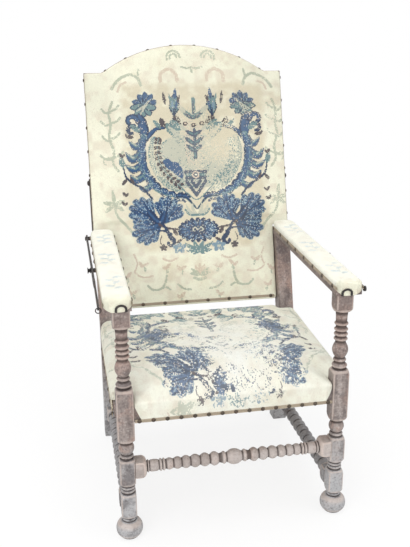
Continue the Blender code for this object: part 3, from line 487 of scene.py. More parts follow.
WEB_HALF = 0.027
WEB_THICK = 0.0007
WEB_WAVE = 0.0006
WEB_CROSSING = 0.034
low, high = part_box("seat_webbing")
lanes_x = [(high.x - 0.100) * (2 * i / 3 - 1) for i in range(4)]
lanes_y = [low.y + 0.098 + (high.y - low.y - 0.196) * i / 3 for i in range(4)]


def web_strip(bm, start, end, across, crossings, first, steps=72):
    """One strip with a small wave over and under those that cross it."""
    run = end - start
    rows = []
    for i in range(steps + 1):
        at = start + run * (i / steps)
        lift = 0.0
        for number, place in enumerate(crossings):
            near = max(0.0, 1 - abs((at - place).dot(run.normalized())) / WEB_CROSSING)
            lift += (1 if (number + first) % 2 else -1) * near * near * (3 - 2 * near) * WEB_WAVE
        middle = low.z + 0.001 + lift
        row = []
        for side, level in ((-1, -1), (1, -1), (1, 1), (-1, 1)):
            spot = at + across * side * WEB_HALF
            row.append(bm.verts.new((spot.x, spot.y, middle + level * WEB_THICK / 2)))
        rows.append(row)
    lofted(bm, rows)


bm = bmesh.new()
for number, x in enumerate(lanes_x):
    web_strip(bm, Vector((x, low.y, 0)), Vector((x, high.y, 0)), Vector((1, 0, 0)),
              [Vector((x, y, 0)) for y in lanes_y], number)
for number, y in enumerate(lanes_y):
    web_strip(bm, Vector((low.x, y, 0)), Vector((high.x, y, 0)), Vector((0, 1, 0)),
              [Vector((x, y, 0)) for x in lanes_x], number + 1)
bmesh.ops.recalc_face_normals(bm, faces=bm.faces[:])
webbing = mesh_piece("jute_webbing", bm)
finish = Finish("jute web")
place = finish.place()
weave = (finish.axis(place, 0) * 2100.0).wave() * (finish.axis(place, 1) * 2100.0).wave()
slub = finish.spots(place, 160.0, 3.0, 0.6)
finish.coat(Base_Color=finish.mix(slub, dye(128, 106, 76), dye(170, 148, 112)), Roughness=0.9,
            Normal=finish.relief(weave * 0.5 + slub, 0.0006))
fitted(webbing, "seat_webbing", "frame", "linen", finish.material)


# Needlework cover of the seat: canvas worked all over in wool, one coloured stitch to each face.
# A mirrored garden of palmettes and scrolling leaves in indigo, now faded and rubbed through.
# It is stretched over the stuffing and folded down over the rails, where nails hold it.

WOOL = {
    "ground": dye(244, 243, 222),
    "canvas": dye(228, 218, 197),
    "field": dye(224, 216, 191),
    "indigo": dye(42, 62, 96),
    "blue": dye(58, 93, 136),
    "sky": dye(126, 153, 171),
    "teal": dye(112, 142, 146),
    "sage": dye(188, 194, 174),
    "fawn": dye(219, 204, 184),
    "umber": dye(84, 76, 84),
    "slate": dye(92, 102, 120),
    "mist": dye(198, 199, 182),
    "frost": dye(178, 197, 203),
}

STITCH = 2.4
pattern = []


def drawn(points, widths, steps=5):
    """Smooth line through points, with a half width at each."""
    points = [Vector(p) for p in points]
    widths = list(widths)
    line, half = [], []
    for i in range(len(points) - 1):
        before, here = points[max(i - 1, 0)], points[i]
        there, after = points[i + 1], points[min(i + 2, len(points) - 1)]
        for step in range(steps):
            t = step / steps
            spot = 0.5 * (2 * here + (there - before) * t
                          + (2 * before - 5 * here + 4 * there - after) * t * t
                          + (3 * here - before - 3 * there + after) * t ** 3)
            line.append(spot)
            half.append(widths[i] + (widths[i + 1] - widths[i]) * t)
    line.append(points[-1])
    half.append(widths[-1])
    return np.array([tuple(p) for p in line]), np.array(half)


def worked(points, widths, wool, both=True, rubbed=0.0):
    """Stitches along a line in millimetres, and the same on the other side of the middle."""
    if isinstance(widths, (int, float)):
        widths = [widths] * len(points)
    line, half = drawn(points, widths)
    pattern.append((line, half, wool, rubbed))
    if both:
        pattern.append((line * np.array([-1.0, 1.0]), half, wool, rubbed))


def leaf(base, tip, width, wool, bow=0.0, both=True, rubbed=0.0):
    """Pointed leaf between two points, bowed to one side by a share of its length."""
    base, tip = Vector(base), Vector(tip)
    side = Vector((base.y - tip.y, tip.x - base.x)) * bow
    places = [base, base.lerp(tip, 0.35) + side, base.lerp(tip, 0.7) + side, tip]
    half = width / 2
    worked(places, [half * 0.35, half, half * 0.85, half * 0.12], wool, both, rubbed)


def palmette(base, tips, width):
    """Leaf of rounded lobes: a pale rim first, then the dark lobe in it, lit along every other rib."""
    base = Vector(base)
    tips = [Vector(tip) for tip in tips]
    for rim, wool, rubbed in ((0.54, "sky", 0.1), (0.45, "indigo", 0.24), (0.33, "blue", 0.36)):
        widths = [width * rim * 0.55, width * rim * 0.8, width * rim, width * (rim - 0.1)]
        for tip in tips:
            worked([base, base.lerp(tip, 0.5), base.lerp(tip, 0.86), tip], widths, wool, rubbed=rubbed)
    for number, tip in enumerate(tips):
        worked([base.lerp(tip, 0.25), base.lerp(tip, 0.6), tip],
               [width * 0.2, width * 0.3, width * 0.36], "frost", rubbed=1.16)
        if number % 2:
            rib, halves, wool, rubbed = (0.5, 0.95), (0.04, 0.13), "sky", 0.35
        else:
            rib, halves, wool, rubbed = (0.2, 0.9), (0.12, 0.07), "indigo", 0.1
        worked([base.lerp(tip, share) for share in rib], [width * share for share in halves], wool,
               rubbed=rubbed)


def curl(centre, radius, start, turn, width, wool, rubbed=0.0, both=True):
    """Hook that winds inwards about a centre."""
    points, half = [], []
    for i in range(7):
        share = i / 6
        angle = math.radians(start + turn * share)
        reach = radius * (1 - 0.55 * share)
        points.append((centre[0] + reach * math.cos(angle), centre[1] + reach * math.sin(angle)))
        half.append(width / 2 * (1 - 0.25 * share))
    worked(points, half, wool, both, rubbed)


def faint(points, width, wool, both=True):
    """Line of the faded border."""
    worked(points, width * 1.3, wool, both, 0.24)


# Border: faded vines and shells round the field
for reach in (21, 11):
    angles = [math.radians(turn) for turn in (200, 160, 120, 80, 40, 0)]
    faint([(-54 + reach * math.cos(a), 776 + reach * math.sin(a)) for a in angles], 2.6, "sage")
faint([(-30, 745), (-12, 740), (0, 743), (18, 740), (34, 745)], 2.2, "sage", both=False)
faint([(0, 743), (2, 728)], 2.2, "sage", both=False)
faint([(-98, 700), (-96, 724), (-72, 738), (-50, 724), (-46, 702)], 4.0, "fawn")
faint([(-160, 690), (-168, 712), (-190, 724), (-216, 716), (-236, 700), (-250, 680)], 3.4, "sage")
faint([(-168, 712), (-164, 738)], 2.6, "sage")
faint([(-205, 700), (-224, 690), (-232, 672)], 2.6, "fawn")
faint([(-250, 640), (-262, 606), (-258, 570), (-264, 530), (-252, 490), (-256, 452), (-240, 428)],
      3.0, "sage")
for height, long in ((612, 26), (575, 30), (528, 26), (470, 34)):
    faint([(-258, height), (-258 + long * 0.6, height + 5), (-258 + long, height + 16)], 2.6, "sage")
    faint([(-258, height - 6), (-258 - long * 0.6, height - 4), (-258 - long, height + 8)], 2.6, "sage")
curl((-272, 455), 18, 60, 170, 5, "sage", 0.4)
faint([(-262, 366), (-258, 326), (-250, 290), (-226, 262), (-205, 236)], 3.0, "sage")
for tip in ((-292, 334), (-226, 336), (-286, 304), (-230, 306)):
    leaf((-258, 326), tip, 14, "sage", rubbed=0.4)
leaf((-258, 330), (-262, 368), 13, "sage", rubbed=0.4)
for turn in (90, 62, 36, 12):
    angle = math.radians(turn)
    tip = (-34 * math.cos(angle), 92 + 38 * math.sin(angle))
    leaf((0, 92), tip, 11, "fawn" if turn % 4 else "sage", rubbed=0.2)
faint([(-18, 84), (0, 78), (18, 84)], 3.4, "sage", both=False)
faint([(-166, 68), (-150, 54), (-126, 56), (-112, 72), (-106, 96)], 2.8, "sage")
faint([(-126, 56), (-108, 60), (-96, 52)], 2.4, "sage")
faint([(-70, 66), (-52, 52), (-30, 48)], 2.4, "sage")
faint([(-205, 168), (-196, 140), (-204, 112), (-180, 96), (-150, 98)], 2.0, "fawn")
faint([(-116, 150), (-92, 142), (-70, 150)], 2.4, "fawn")
for x, y, lean in ((-58, 112, 1), (-104, 118, -1), (-176, 128, 1),
                   (-228, 96, -1), (-214, 44, 1), (-60, 24, -1)):
    leaf((x, y), (x - 13 * lean, y + 17), 11, "fawn", 0.1, rubbed=0.3)
    leaf((x, y), (x + 15 * lean, y + 11), 10, "fawn", 0.1, rubbed=0.35)
    leaf((x, y), (x + 3 * lean, y - 16), 8, "sage", 0.1, rubbed=0.5)

# Field: top sprays and buds
heart = Vector((-148, 626))
for tip in ((-188, 640), (-170, 660), (-148, 668), (-126, 660), (-114, 640)):
    leaf(heart, tip, 25, "sky", rubbed=0.1)
    leaf(heart, tip, 21, "indigo", rubbed=0.06)
    leaf(heart.lerp(Vector(tip), 0.35), tip, 12, "blue", rubbed=0.15)
heart = Vector((-148, 624))
for tip in ((-196, 620), (-184, 600), (-158, 590), (-134, 596), (-116, 618)):
    leaf(heart, tip, 24, "indigo", rubbed=0.1)
    leaf(heart, heart.lerp(Vector(tip), 0.94), 18, "teal", rubbed=0.12)
worked([(-176, 610), (-150, 626), (-132, 644)], [2, 4, 2], "mist", rubbed=0.2)
worked([(-164, 600), (-150, 624)], [2, 3], "mist", rubbed=0.2)
leaf((-86, 630), (-92, 668), 10, "umber")
leaf((-60, 600), (-55, 660), 34, "indigo", rubbed=0.1)
leaf((-60, 604), (-56, 654), 27, "teal", rubbed=0.1)
leaf((-63, 608), (-64, 642), 9, "sky", rubbed=0.2)
leaf((-54, 610), (-50, 640), 8, "blue", rubbed=0.15)
leaf((-56, 646), (-53, 678), 11, "blue", rubbed=0.1)
leaf((-66, 634), (-75, 662), 8, "teal")
leaf((-48, 636), (-40, 658), 8, "umber")
worked([(-58, 612), (-60, 590), (-70, 570), (-92, 558), (-120, 552), (-152, 524)],
       [4, 4, 4.5, 5, 6, 9], "indigo", rubbed=0.15)
worked([(-72, 570), (-92, 559), (-120, 553), (-152, 526)], [1.5, 2, 3.5, 6], "blue", rubbed=0.25)
worked([(-58, 600), (-59, 588)], 4.0, "indigo")
leaf((-60, 590), (-40, 566), 20, "umber", rubbed=0.2)
leaf((-70, 576), (-42, 550), 24, "teal", rubbed=0.15)
leaf((-84, 566), (-46, 524), 30, "teal", rubbed=0.15)
leaf((-80, 560), (-52, 532), 12, "mist", rubbed=0.1)
leaf((-62, 548), (-44, 516), 18, "mist", rubbed=0.2)
leaf((-92, 560), (-104, 586), 18, "umber", rubbed=0.25)
leaf((-104, 556), (-126, 580), 14, "teal", rubbed=0.3)

# Side flowers on the fork of each scroll
leaf((-158, 520), (-170, 602), 34, "indigo", -0.06, rubbed=0.12)
leaf((-160, 524), (-170, 598), 26, "blue", -0.06, rubbed=0.2)
curl((-194, 578), 20, 0, 230, 17, "indigo", 0.05)
curl((-194, 578), 19, 10, 190, 9, "blue", 0.1)
curl((-194, 550), 16, 60, 220, 14, "indigo", 0.06)
leaf((-170, 548), (-198, 568), 18, "teal", rubbed=0.12)
leaf((-190, 530), (-212, 534), 11, "umber")

# Great leaf scrolls, from the fork down to the point under the middle
for root, elbow, tip, wide in (
        ((-164, 512), (-186, 500), (-204, 520), 11), ((-166, 480), (-196, 462), (-216, 484), 13),
        ((-166, 446), (-194, 430), (-218, 446), 12), ((-154, 416), (-186, 398), (-204, 414), 12),
        ((-136, 386), (-160, 368), (-180, 378), 10)):
    worked([root, elbow, tip], [wide, wide, 2.0], "slate", rubbed=0.15)
    worked([root, elbow, tip], [wide * 0.85, wide * 0.7, 1.0], "blue", rubbed=0.3)
    inner = Vector(elbow) + Vector((3, 5))
    worked([Vector(root).lerp(inner, 0.5), inner, Vector(tip) + Vector((3, -4))],
           [wide * 0.2, wide * 0.45, 1.0], "teal", rubbed=0.2)
    worked([inner, Vector(tip) + Vector((2, -2))], [wide * 0.18, 1.0], "mist", rubbed=0.3)
stem = [(-157, 530), (-166, 500), (-167, 462), (-154, 412), (-118, 366), (-66, 344), (-32, 337), (-4, 304)]
worked([(-126, 520), (-136, 486), (-132, 450), (-116, 412), (-86, 380), (-50, 362)],
       [6, 7, 7, 7, 6, 3], "ground", rubbed=0.3)
inside = [(-128, 522), (-138, 486), (-134, 450), (-118, 412), (-88, 378), (-50, 361)]
worked(inside, 9.0, "mist", rubbed=0.25)
worked(inside, 9.0, "teal", rubbed=0.85)
worked(stem, [10, 12, 13, 12.5, 10, 6.0, 4.4, 2.8], "teal", rubbed=0.06)
for number, (one, two) in enumerate(zip(stem[:6], stem[1:7])):
    one, two = Vector(one), Vector(two)
    way = (two - one).normalized()
    out = Vector((one.y - two.y, two.x - one.x)).normalized()
    for part in (0.15, 0.6):
        here = one.lerp(two, part)
        leaf(here + out * 6, here + way * 26 + out * (3 if number % 2 else -4), 15, "indigo", 0.1, rubbed=0.2)
        leaf(here + out * 4, here + way * 24 - out * 3, 9, "blue", 0.1, rubbed=0.25)
        leaf(here - out * 6, here + way * 15 - out * 13, 8, "slate", -0.1, rubbed=0.25)
        leaf(here - out * 2, here + way * 12 - out * 3, 4, "sky", rubbed=0.3)
worked(stem[:6], [8, 11, 11, 9, 6, 3], "blue", rubbed=0.65)
worked([(-168, 590)] + stem[:6], [9, 10, 13, 15, 13, 9, 5], "frost", rubbed=1.24)
worked([(-60, 342), (-30, 335), (-2, 302)], [2.6, 2.4, 1.6], "indigo", rubbed=0.1)
worked([(-226, 448), (-218, 408), (-190, 384), (-168, 372), (-140, 338)], [2, 3, 3.4, 3.4, 3.0], "indigo")
leaf((-226, 440), (-232, 470), 18, "teal", rubbed=0.2)
leaf((-216, 402), (-232, 384), 11, "umber")
leaf((-196, 388), (-206, 408), 9, "umber")

# Worn fill of the heart, the laurels inside the scrolls and the wings beneath
worked([(-46, 450), (46, 450)], 82.0, "mist", both=False, rubbed=0.35)
worked([(-46, 450), (0, 384)], [70, 24], "mist", rubbed=0.4)
worked([(0, 520), (0, 560)], 60.0, "mist", both=False, rubbed=0.8)
worked([(-46, 450), (46, 450)], 80.0, "fawn", both=False, rubbed=1.22)
worked([(-46, 450), (46, 450)], 82.0, "teal", both=False, rubbed=0.98)
worked([(58, 494), (46, 454), (50, 430)], [18, 28, 14], "teal", both=False, rubbed=0.85)
worked([(0, 560), (0, 450)], [34, 26], "fawn", both=False, rubbed=0.85)
bough, _ = drawn([(-112, 526), (-118, 484), (-106, 436), (-76, 398), (-44, 372)], [1] * 5, 3)
for here, there in zip(bough, bough[1:]):
    way = Vector(there - here).normalized()
    out = Vector((-way.y, way.x))
    for side in (-1, 1):
        tip = Vector(here) + way * 9 + out * side * 11
        leaf(Vector(here), tip, 10, "umber", both=False, rubbed=0.2)
        leaf(Vector((-here[0], here[1])), Vector((-tip.x, tip.y)), 8, "teal", both=False, rubbed=0.45)
worked([(-112, 524), (-118, 484), (-106, 436), (-76, 398)], 1.4, "teal", rubbed=0.3)
for side, wool, rubbed in ((-1, "blue", 0.05), (1, "mist", 0.35)):
    wing = [(94 * side, 452), (76 * side, 442), (56 * side, 424), (44 * side, 402)]
    worked(wing, [7, 17, 15, 4], wool, both=False, rubbed=rubbed)
worked([(-72, 512), (-74, 488), (-62, 462)], [12, 27, 14], "mist", rubbed=0.3)
worked([(-44, 500), (-40, 470), (-34, 446)], [10, 12, 5], "mist", rubbed=0.3)

# Middle: two sprigs, a bar with a ring, and the point under it
worked([(2, 644), (2, 588)], [5.5, 5.5], "teal", both=False)
worked([(2, 636), (2, 590)], [2.6, 3.0], "slate", both=False, rubbed=0.15)
leaf((2, 584), (-34, 612), 17, "teal", 0.05)
leaf((2, 582), (-30, 606), 9, "slate", 0.05, rubbed=0.1)
leaf((-26, 604), (-46, 622), 16, "mist")
for x, y in ((-26, 568), (0, 563), (26, 568)):
    worked([(x - 2, y), (x + 2, y)], 6.0, "umber", both=False, rubbed=0.1)
    worked([(x - 1, y + 1), (x + 1, y + 1)], 2.6, "fawn", both=False)
worked([(2, 550), (2, 460)], [3.8, 5.6], "slate", both=False, rubbed=0.1)
worked([(2, 520), (2, 464)], [1.4, 2.6], "teal", both=False, rubbed=0.1)
for height, out, rise in ((536, 22, 16), (508, 27, 24), (486, 22, 22)):
    leaf((2, height - 6), (-out - 3, height + rise - 6), 14, "slate", rubbed=0.12)
    leaf((-2, height - 2), (-out * 0.8, height + rise * 0.8 - 6), 6, "teal", rubbed=0.2)
leaf((-26, 548), (-44, 566), 12, "mist")
worked([(-30, 417), (30, 417)], 6.5, "slate", both=False, rubbed=0.1)
worked([(-28, 400), (28, 400)], 6.5, "slate", both=False, rubbed=0.1)
worked([(-26, 409), (-16, 409)], 5.0, "teal", rubbed=0.3)
worked([(-1, 408), (1, 408)], 11.0, "fawn", both=False)
worked([(-1, 408), (1, 408)], 6.5, "slate", both=False)
worked([(-1, 408), (1, 408)], 3.0, "ground", both=False)
for half, top, point in ((30, 388, 344), (13, 388, 369)):
    worked([(-half, top), (-half / 2, (top + point) / 2), (0, point)], 5.0, "slate", rubbed=0.08)
worked([(-56, 380), (-30, 352), (0, 330), (30, 352), (56, 380)], 1.7, "teal", both=False)

OVAL_HEIGHT = 235


def petal(angle, inner, outer, halves, wool, rubbed):
    """Stroke of the oval flower, from one ellipse out to another."""
    across, up = math.cos(angle), math.sin(angle)
    worked([(wide * across, OVAL_HEIGHT + high * up) for wide, high in (inner, outer)], halves, wool,
           both=False, rubbed=rubbed)


# Palmettes, the oval flower between them, and what hangs below
palmette((-138, 276), ((-194, 270), (-206, 290), (-204, 312), (-192, 330), (-172, 336), (-150, 330)), 23)
palmette((-102, 266), ((-126, 320), (-110, 334), (-90, 337), (-70, 328), (-54, 310), (-52, 288)), 22)
palmette((-124, 248), ((-168, 266), (-194, 254), (-200, 232), (-186, 212), (-164, 204), (-140, 212)), 22)
worked([(-150, 296), (-124, 262), (-104, 288)], [10, 16, 8], "indigo", rubbed=0.1)
worked([(-154, 300), (-136, 276), (-118, 266), (-104, 292)], [3, 4, 4, 3], "blue", rubbed=0.25)
worked([(-146, 250), (-128, 256)], [5, 4], "blue", rubbed=0.25)
for i in range(20):
    petal(math.tau * i / 20, (46, 23), (59, 33), [9.5, 6.5], "indigo", 0.06)
worked([(-34, OVAL_HEIGHT), (34, OVAL_HEIGHT)], 24.0, "indigo", both=False, rubbed=0.05)
for i in range(16):
    angle = math.tau * (i + 0.5) / 16
    petal(angle, (22, 12), (50, 27), [2.0, 4.2], "blue", 0.2)
    petal(angle, (40, 21), (46, 25), [1.4, 2.0], "sky", 0.35)
worked([(-30, OVAL_HEIGHT), (30, OVAL_HEIGHT)], 30.0, "frost", both=False, rubbed=1.12)
worked([(-12, OVAL_HEIGHT), (12, OVAL_HEIGHT)], 13.0, "indigo", both=False, rubbed=0.1)
curl((-10, 236), 8, 0, 300, 4.2, "mist")
worked([(0, 224), (0, 250)], 1.8, "blue", both=False)
worked([(-122, 258), (-100, 246), (-66, 240)], [4, 3.4, 3], "umber")
worked([(-128, 238), (-104, 236), (-88, 226)], [2.4, 3, 5], "indigo")
worked([(-112, 262), (-100, 240), (-90, 220), (-82, 206)], [3, 4.5, 7, 6], "indigo", rubbed=0.05)
curl((-90, 200), 15, 60, -230, 12, "indigo")
leaf((-78, 238), (-66, 222), 12, "umber")
worked([(-116, 222), (-122, 204), (-114, 190)], 1.5, "umber")
for turn in range(5):
    angle = math.radians(90 + 72 * turn)
    leaf((-112, 184), (-112 + 12 * math.cos(angle), 184 + 11 * math.sin(angle)), 9, "umber", rubbed=0.1)
    leaf((-62, 182), (-62 + 22 * math.cos(angle), 182 + 18 * math.sin(angle)), 15, "sky", rubbed=0.15)
worked([(-64, 182), (-60, 182)], 4.0, "mist")
leaf((-70, 198), (-52, 208), 9, "umber")
for tip in ((-34, 316), (-22, 296), (-12, 322)):
    leaf((0, 282), tip, 10, "mist", 0.15, rubbed=0.2)
worked([(-38, 300), (-24, 284), (0, 282), (24, 284), (38, 300)], 3.0, "teal", both=False, rubbed=0.3)
for tip in ((-44, 196), (-40, 172), (-18, 160), (-14, 200)):
    leaf((0, 178), tip, 13, "teal", 0.1, rubbed=0.3)
for x, y in ((-206, 528), (-222, 350), (-226, 322), (-228, 470)):
    leaf((x, y), (x - 8, y + 13), 9, "umber")
    leaf((x, y), (x + 9, y + 9), 8, "umber")


def scatter(count_u, count_v, seed):
    """Even random number from 0 to 1 for each stitch, always the same."""
    value = np.sin(count_u * 12.9898 + count_v * 78.233 + seed * 37.719) * 43758.5453
    return value - np.floor(value)


def mottle(u, v, size, seed):
    """Soft blotches about one size across, from 0 to 1."""
    x, y = u / size, v / size
    left, low = np.floor(x), np.floor(y)
    fx, fy = x - left, y - low
    fx, fy = fx * fx * (3 - 2 * fx), fy * fy * (3 - 2 * fy)
    one = scatter(left, low, seed) * (1 - fx) + scatter(left + 1, low, seed) * fx
    two = scatter(left, low + 1, seed) * (1 - fx) + scatter(left + 1, low + 1, seed) * fx
    return one * (1 - fy) + two * fy


def blended(one, two, share):
    """Colours between two others, by a share for each stitch."""
    share = share[:, None]
    return np.asarray(one)[..., :3] * (1 - share) + np.asarray(two)[..., :3] * share


def outside(spots, line, half):
    """How far each spot lies outside a line of changing width. It is negative on the line."""
    least = np.full(len(spots), 1e9)
    for i in range(len(line) - 1):
        run = line[i + 1] - line[i]
        share = np.clip(((spots - line[i]) @ run) / max(run @ run, 1e-9), 0.0, 1.0)
        gap = np.linalg.norm(spots - line[i] - share[:, None] * run, axis=1)
        least = np.minimum(least, gap - (half[i] + (half[i + 1] - half[i]) * share))
    return least


def in_field(u, v, ragged):
    """Share of the darker field inside the border, with ragged edges and blotches."""
    sides = 230 - np.abs(u)
    top, foot = 702 - v, v - 166
    corners = 138 - np.abs(u) * 0.8 + foot * 0.72
    gap = np.minimum.reduce([sides, top, foot, corners])
    blotch = mottle(u, v, 30.0, 6.0) * 0.6 + mottle(u, v, 11.0, 8.0) * 0.4
    return np.clip((gap + ragged) / 22, 0.0, 1.0) * np.clip(2.0 * blotch, 0.4, 1.0)


def stitched(u, v, wear, lines, field):
    """Colour of each stitch from its place in millimetres on the design.

    wear thins the wool out, stitch by stitch: most stitches are lost or kept through all the lines that
    cross them, and field is how strongly the field within the border is filled in.
    """
    broad, fine = mottle(u, v, 70.0, 1.0), mottle(u, v, 14.0, 2.0)
    across, up = np.floor(u / STITCH), np.floor(v / STITCH)
    soiled = np.clip(1.2 * (mottle(u, v, 30.0, 9.0) * 0.5 + fine * 0.5 - 0.4), 0.0, 0.4)
    colour = blended(WOOL["ground"], WOOL["fawn"], soiled)
    if field:
        ragged = (fine - 0.5) * 8 + (broad - 0.5) * 10
        colour = blended(colour, WOOL["field"], in_field(u, v, ragged) * field)
    for number, (line, half, wool, rubbed) in enumerate(lines):
        most = half.max() + 1.0
        near = np.nonzero((u > line[:, 0].min() - most) & (u < line[:, 0].max() + most)
                          & (v > line[:, 1].min() - most) & (v < line[:, 1].max() + most))[0]
        if not len(near):
            continue
        out = outside(np.stack([u[near], v[near]], 1), line, half)
        through = np.clip(1.3 * wear[near], 0.25, 0.9)
        lost = through * scatter(across[near], up[near], 3.0)
        lost = lost + (1 - through) * scatter(across[near], up[near], 4.0 + number)
        kept = (out < 0) & (lost > 0.65 * rubbed + np.maximum(wear[near] - 0.2, 0) * 0.95)
        faded = np.clip(0.15 + 0.5 * wear[near] + 0.25 * (broad[near] - 0.5), 0.0, 0.85)[kept]
        colour[near[kept]] = blended(WOOL[wool], WOOL["ground"], faded * 0.25)
    bare = scatter(across, up, 3.0) < wear * 0.28 * fine
    colour = blended(colour, WOOL["canvas"], bare * 0.6)
    shade = 1.0 + 0.07 * (scatter(across, up, 5.0) - 0.5) + 0.06 * (broad - 0.5)
    return np.clip(colour * shade[:, None], 0.0, 1.0)


def needlework():
    """Wool over canvas: the stitches' own colours, with painted shade in the gaps between stitches and a
    slanted stitch in relief on each face.
    """
    finish = Finish("wool needlework")
    wool = finish.node("ShaderNodeVertexColor", {"layer_name": "wool"})
    count = finish.node("ShaderNodeUVMap", {"uv_map": "count"})
    along, up = finish.axis(count, 0), finish.axis(count, 1)
    slant = ((along + up) * math.pi).wave().size()
    lane = ((along - up).part() * 2.0 - 1.0).size()
    place = finish.place()
    fluff = finish.spots(place, 900.0, 3.0, 0.65)
    soil = finish.spots(place, 9.0, 4.0, 0.6)
    # Painted shade: the gaps between stitches are darkened, and the fluff adds a random tone.
    gap = finish.between(slant, 0.45, 0.05)
    colour = finish.mix(gap * 0.22 + (1.0 - fluff) * 0.12, wool, dye(120, 104, 84), "MULTIPLY")
    soiled = finish.between(soil, 0.5, 0.8) * 0.3
    colour = finish.mix(soiled, colour, dye(214, 200, 170), "MULTIPLY")
    return finish.coat(Base_Color=colour, Roughness=fluff * 0.1 + 0.84, Specular_IOR_Level=0.2,
                       Normal=finish.relief(slant * 0.8 + lane * 0.25 + fluff * 0.4, 0.0007))


CELL = 4 * STITCH / 1000
CLOTH = {
    "quality": 6, "mass": 0.35, "tension_stiffness": 25, "compression_stiffness": 18,
    "shear_stiffness": 12, "bending_stiffness": 0.6, "use_pressure": True, "vertex_group_mass": "held"}
CLOTH_FRAMES = 20


def lanes(stops, cell=CELL):
    """Grid lines through fixed stops, about one cell apart."""
    lines = []
    for low, high in zip(stops, stops[1:]):
        steps = max(1, round((high - low) / cell))
        lines += [low + (high - low) * i / steps for i in range(steps)]
    return lines + [stops[-1]]


def woven(bm, columns, rows, kept, placed, behind=False):
    """Grid of faces, where kept allows one. placed makes the vertex of a column and a row."""
    grid = {}
    for i in range(len(columns) - 1):
        for j in range(len(rows) - 1):
            if not kept((columns[i] + columns[i + 1]) / 2, (rows[j] + rows[j + 1]) / 2):
                continue
            corners = ((i, j), (i + 1, j), (i + 1, j + 1), (i, j + 1))
            if behind:
                corners = corners[:1] + corners[:0:-1]
            for corner in corners:
                if corner not in grid:
                    grid[corner] = placed(*corner)
            bm.faces.new([grid[corner] for corner in corners]).smooth = True


def open_edges(bm):
    return [edge for edge in bm.edges if edge.is_boundary]


def pulled(bm, edges):
    """Pulls new faces from edges, and gives back their new vertices and open edges."""
    made = bmesh.ops.extrude_edge_only(bm, edges=edges)["geom"]
    verts = [item for item in made if isinstance(item, bmesh.types.BMVert)]
    return verts, [item for item in made if isinstance(item, bmesh.types.BMEdge) and item.is_boundary]


def source(vert, known):
    """Known vertex that a new one was pulled from."""
    return next(edge.other_vert(vert) for edge in vert.link_edges if edge.other_vert(vert) in known)


def fold_down(bm, layers, folds):
    """Turns the edge of a cut cover down in rows. Each gives (outwards, height) for a point of the edge."""
    flat, count, held = layers
    edges = open_edges(bm)
    outward = {}
    for edge in edges:
        one, two = edge.verts
        way = Vector(((two.co - one.co).y, -(two.co - one.co).x)).normalized()
        if way.dot((one.co - edge.link_faces[0].calc_center_median()).xy) < 0:
            way = -way
        for vert in edge.verts:
            outward.setdefault(vert, []).append(way)
    origin = {}
    for vert, ways in outward.items():
        mitre = (ways[0] + ways[1]) / (1 + ways[0].dot(ways[1])) if len(ways) == 2 else ways[0]
        origin[vert] = (vert.co.copy(), mitre, Vector(vert[count]), 0.0)
    for number, row in enumerate(folds):
        fresh = {}
        for vert in pulled(bm, edges)[0]:
            old = source(vert, origin)
            base, mitre, start, gone = origin[old]
            out, height = row(base)
            vert.co = Vector((base.x + mitre.x * out, base.y + mitre.y * out, height))
            gone += (vert.co - old.co).length
            vert[flat] = (base.x + mitre.x * gone, base.y + mitre.y * gone, 0)
            vert[count] = start + Vector((mitre.x, mitre.y, 0)) * gone * 1000 / STITCH
            vert[held] = 1.0 if number else 0.35
            fresh[vert] = (base, mitre, start, gone)
        origin = fresh
        edges = open_edges(bm)
    for face in bm.faces:
        face.smooth = True


def swell(piece, weights, pressure, cap):
    """Lets the stuffing push a cover out in a short cloth simulation, each point by no more than cap."""
    group = piece.vertex_groups.new(name="held")
    for number, weight in enumerate(weights):
        group.add([number], weight, "REPLACE")
    stuffing = piece.modifiers.new("stuffing", "CLOTH")
    for key, value in CLOTH.items():
        setattr(stuffing.settings, key, value)
    stuffing.settings.uniform_pressure_force = pressure
    stuffing.settings.effector_weights.gravity = 0.0
    stuffing.point_cache.frame_start = 1
    stuffing.point_cache.frame_end = CLOTH_FRAMES
    for step in range(1, CLOTH_FRAMES + 1):
        scene.frame_set(step)
    settled = piece.evaluated_get(bpy.context.evaluated_depsgraph_get())
    rest = np.empty(len(piece.data.vertices) * 3)
    moved = np.empty(len(piece.data.vertices) * 3)
    piece.data.vertices.foreach_get("co", rest)
    settled.data.vertices.foreach_get("co", moved)
    shift = (moved - rest).reshape(-1, 3)
    far = np.linalg.norm(shift, axis=1)
    shift *= np.minimum(1.0, cap / np.maximum(far, 1e-9))[:, None]
    piece.modifiers.clear()
    piece.vertex_groups.clear()
    scene.frame_set(1)
    piece.data.vertices.foreach_set("co", rest + shift.ravel())


def split_in_stitches(piece):
    """Cuts each cell of a cover into four by four stitches, smoothly."""
    smooth = piece.modifiers.new("stitches", "SUBSURF")
    smooth.levels = 2
    smooth.render_levels = 2
    smooth.uv_smooth = "NONE"
    smooth.boundary_smooth = "PRESERVE_CORNERS"
    fine = bpy.data.meshes.new_from_object(piece.evaluated_get(bpy.context.evaluated_depsgraph_get()))
    piece.modifiers.clear()
    piece.data = fine


def close_inside(mesh, thick, inner):
    """Turns the hem in by the cloth's thickness, and closes the cover at the height where stuffing rests."""
    bm = bmesh.new()
    bm.from_mesh(mesh)
    edges = open_edges(bm)
    outward = {}
    for edge in edges:
        way = edge.link_faces[0].normal.xy.normalized()
        for vert in edge.verts:
            outward.setdefault(vert, []).append(way)
    verts, edges = pulled(bm, edges)
    for vert in verts:
        one, two = outward[source(vert, outward)]
        mitre = (one + two) / max(1 + one.dot(two), 0.5)
        vert.co.xy = vert.co.xy - mitre * thick
    verts, edges = pulled(bm, edges)
    for vert in verts:
        vert.co.z = inner
    lid = bmesh.ops.edgeloop_fill(bm, edges=edges)["faces"]
    bmesh.ops.triangulate(bm, faces=lid)
    bm.to_mesh(mesh)
    bm.free()


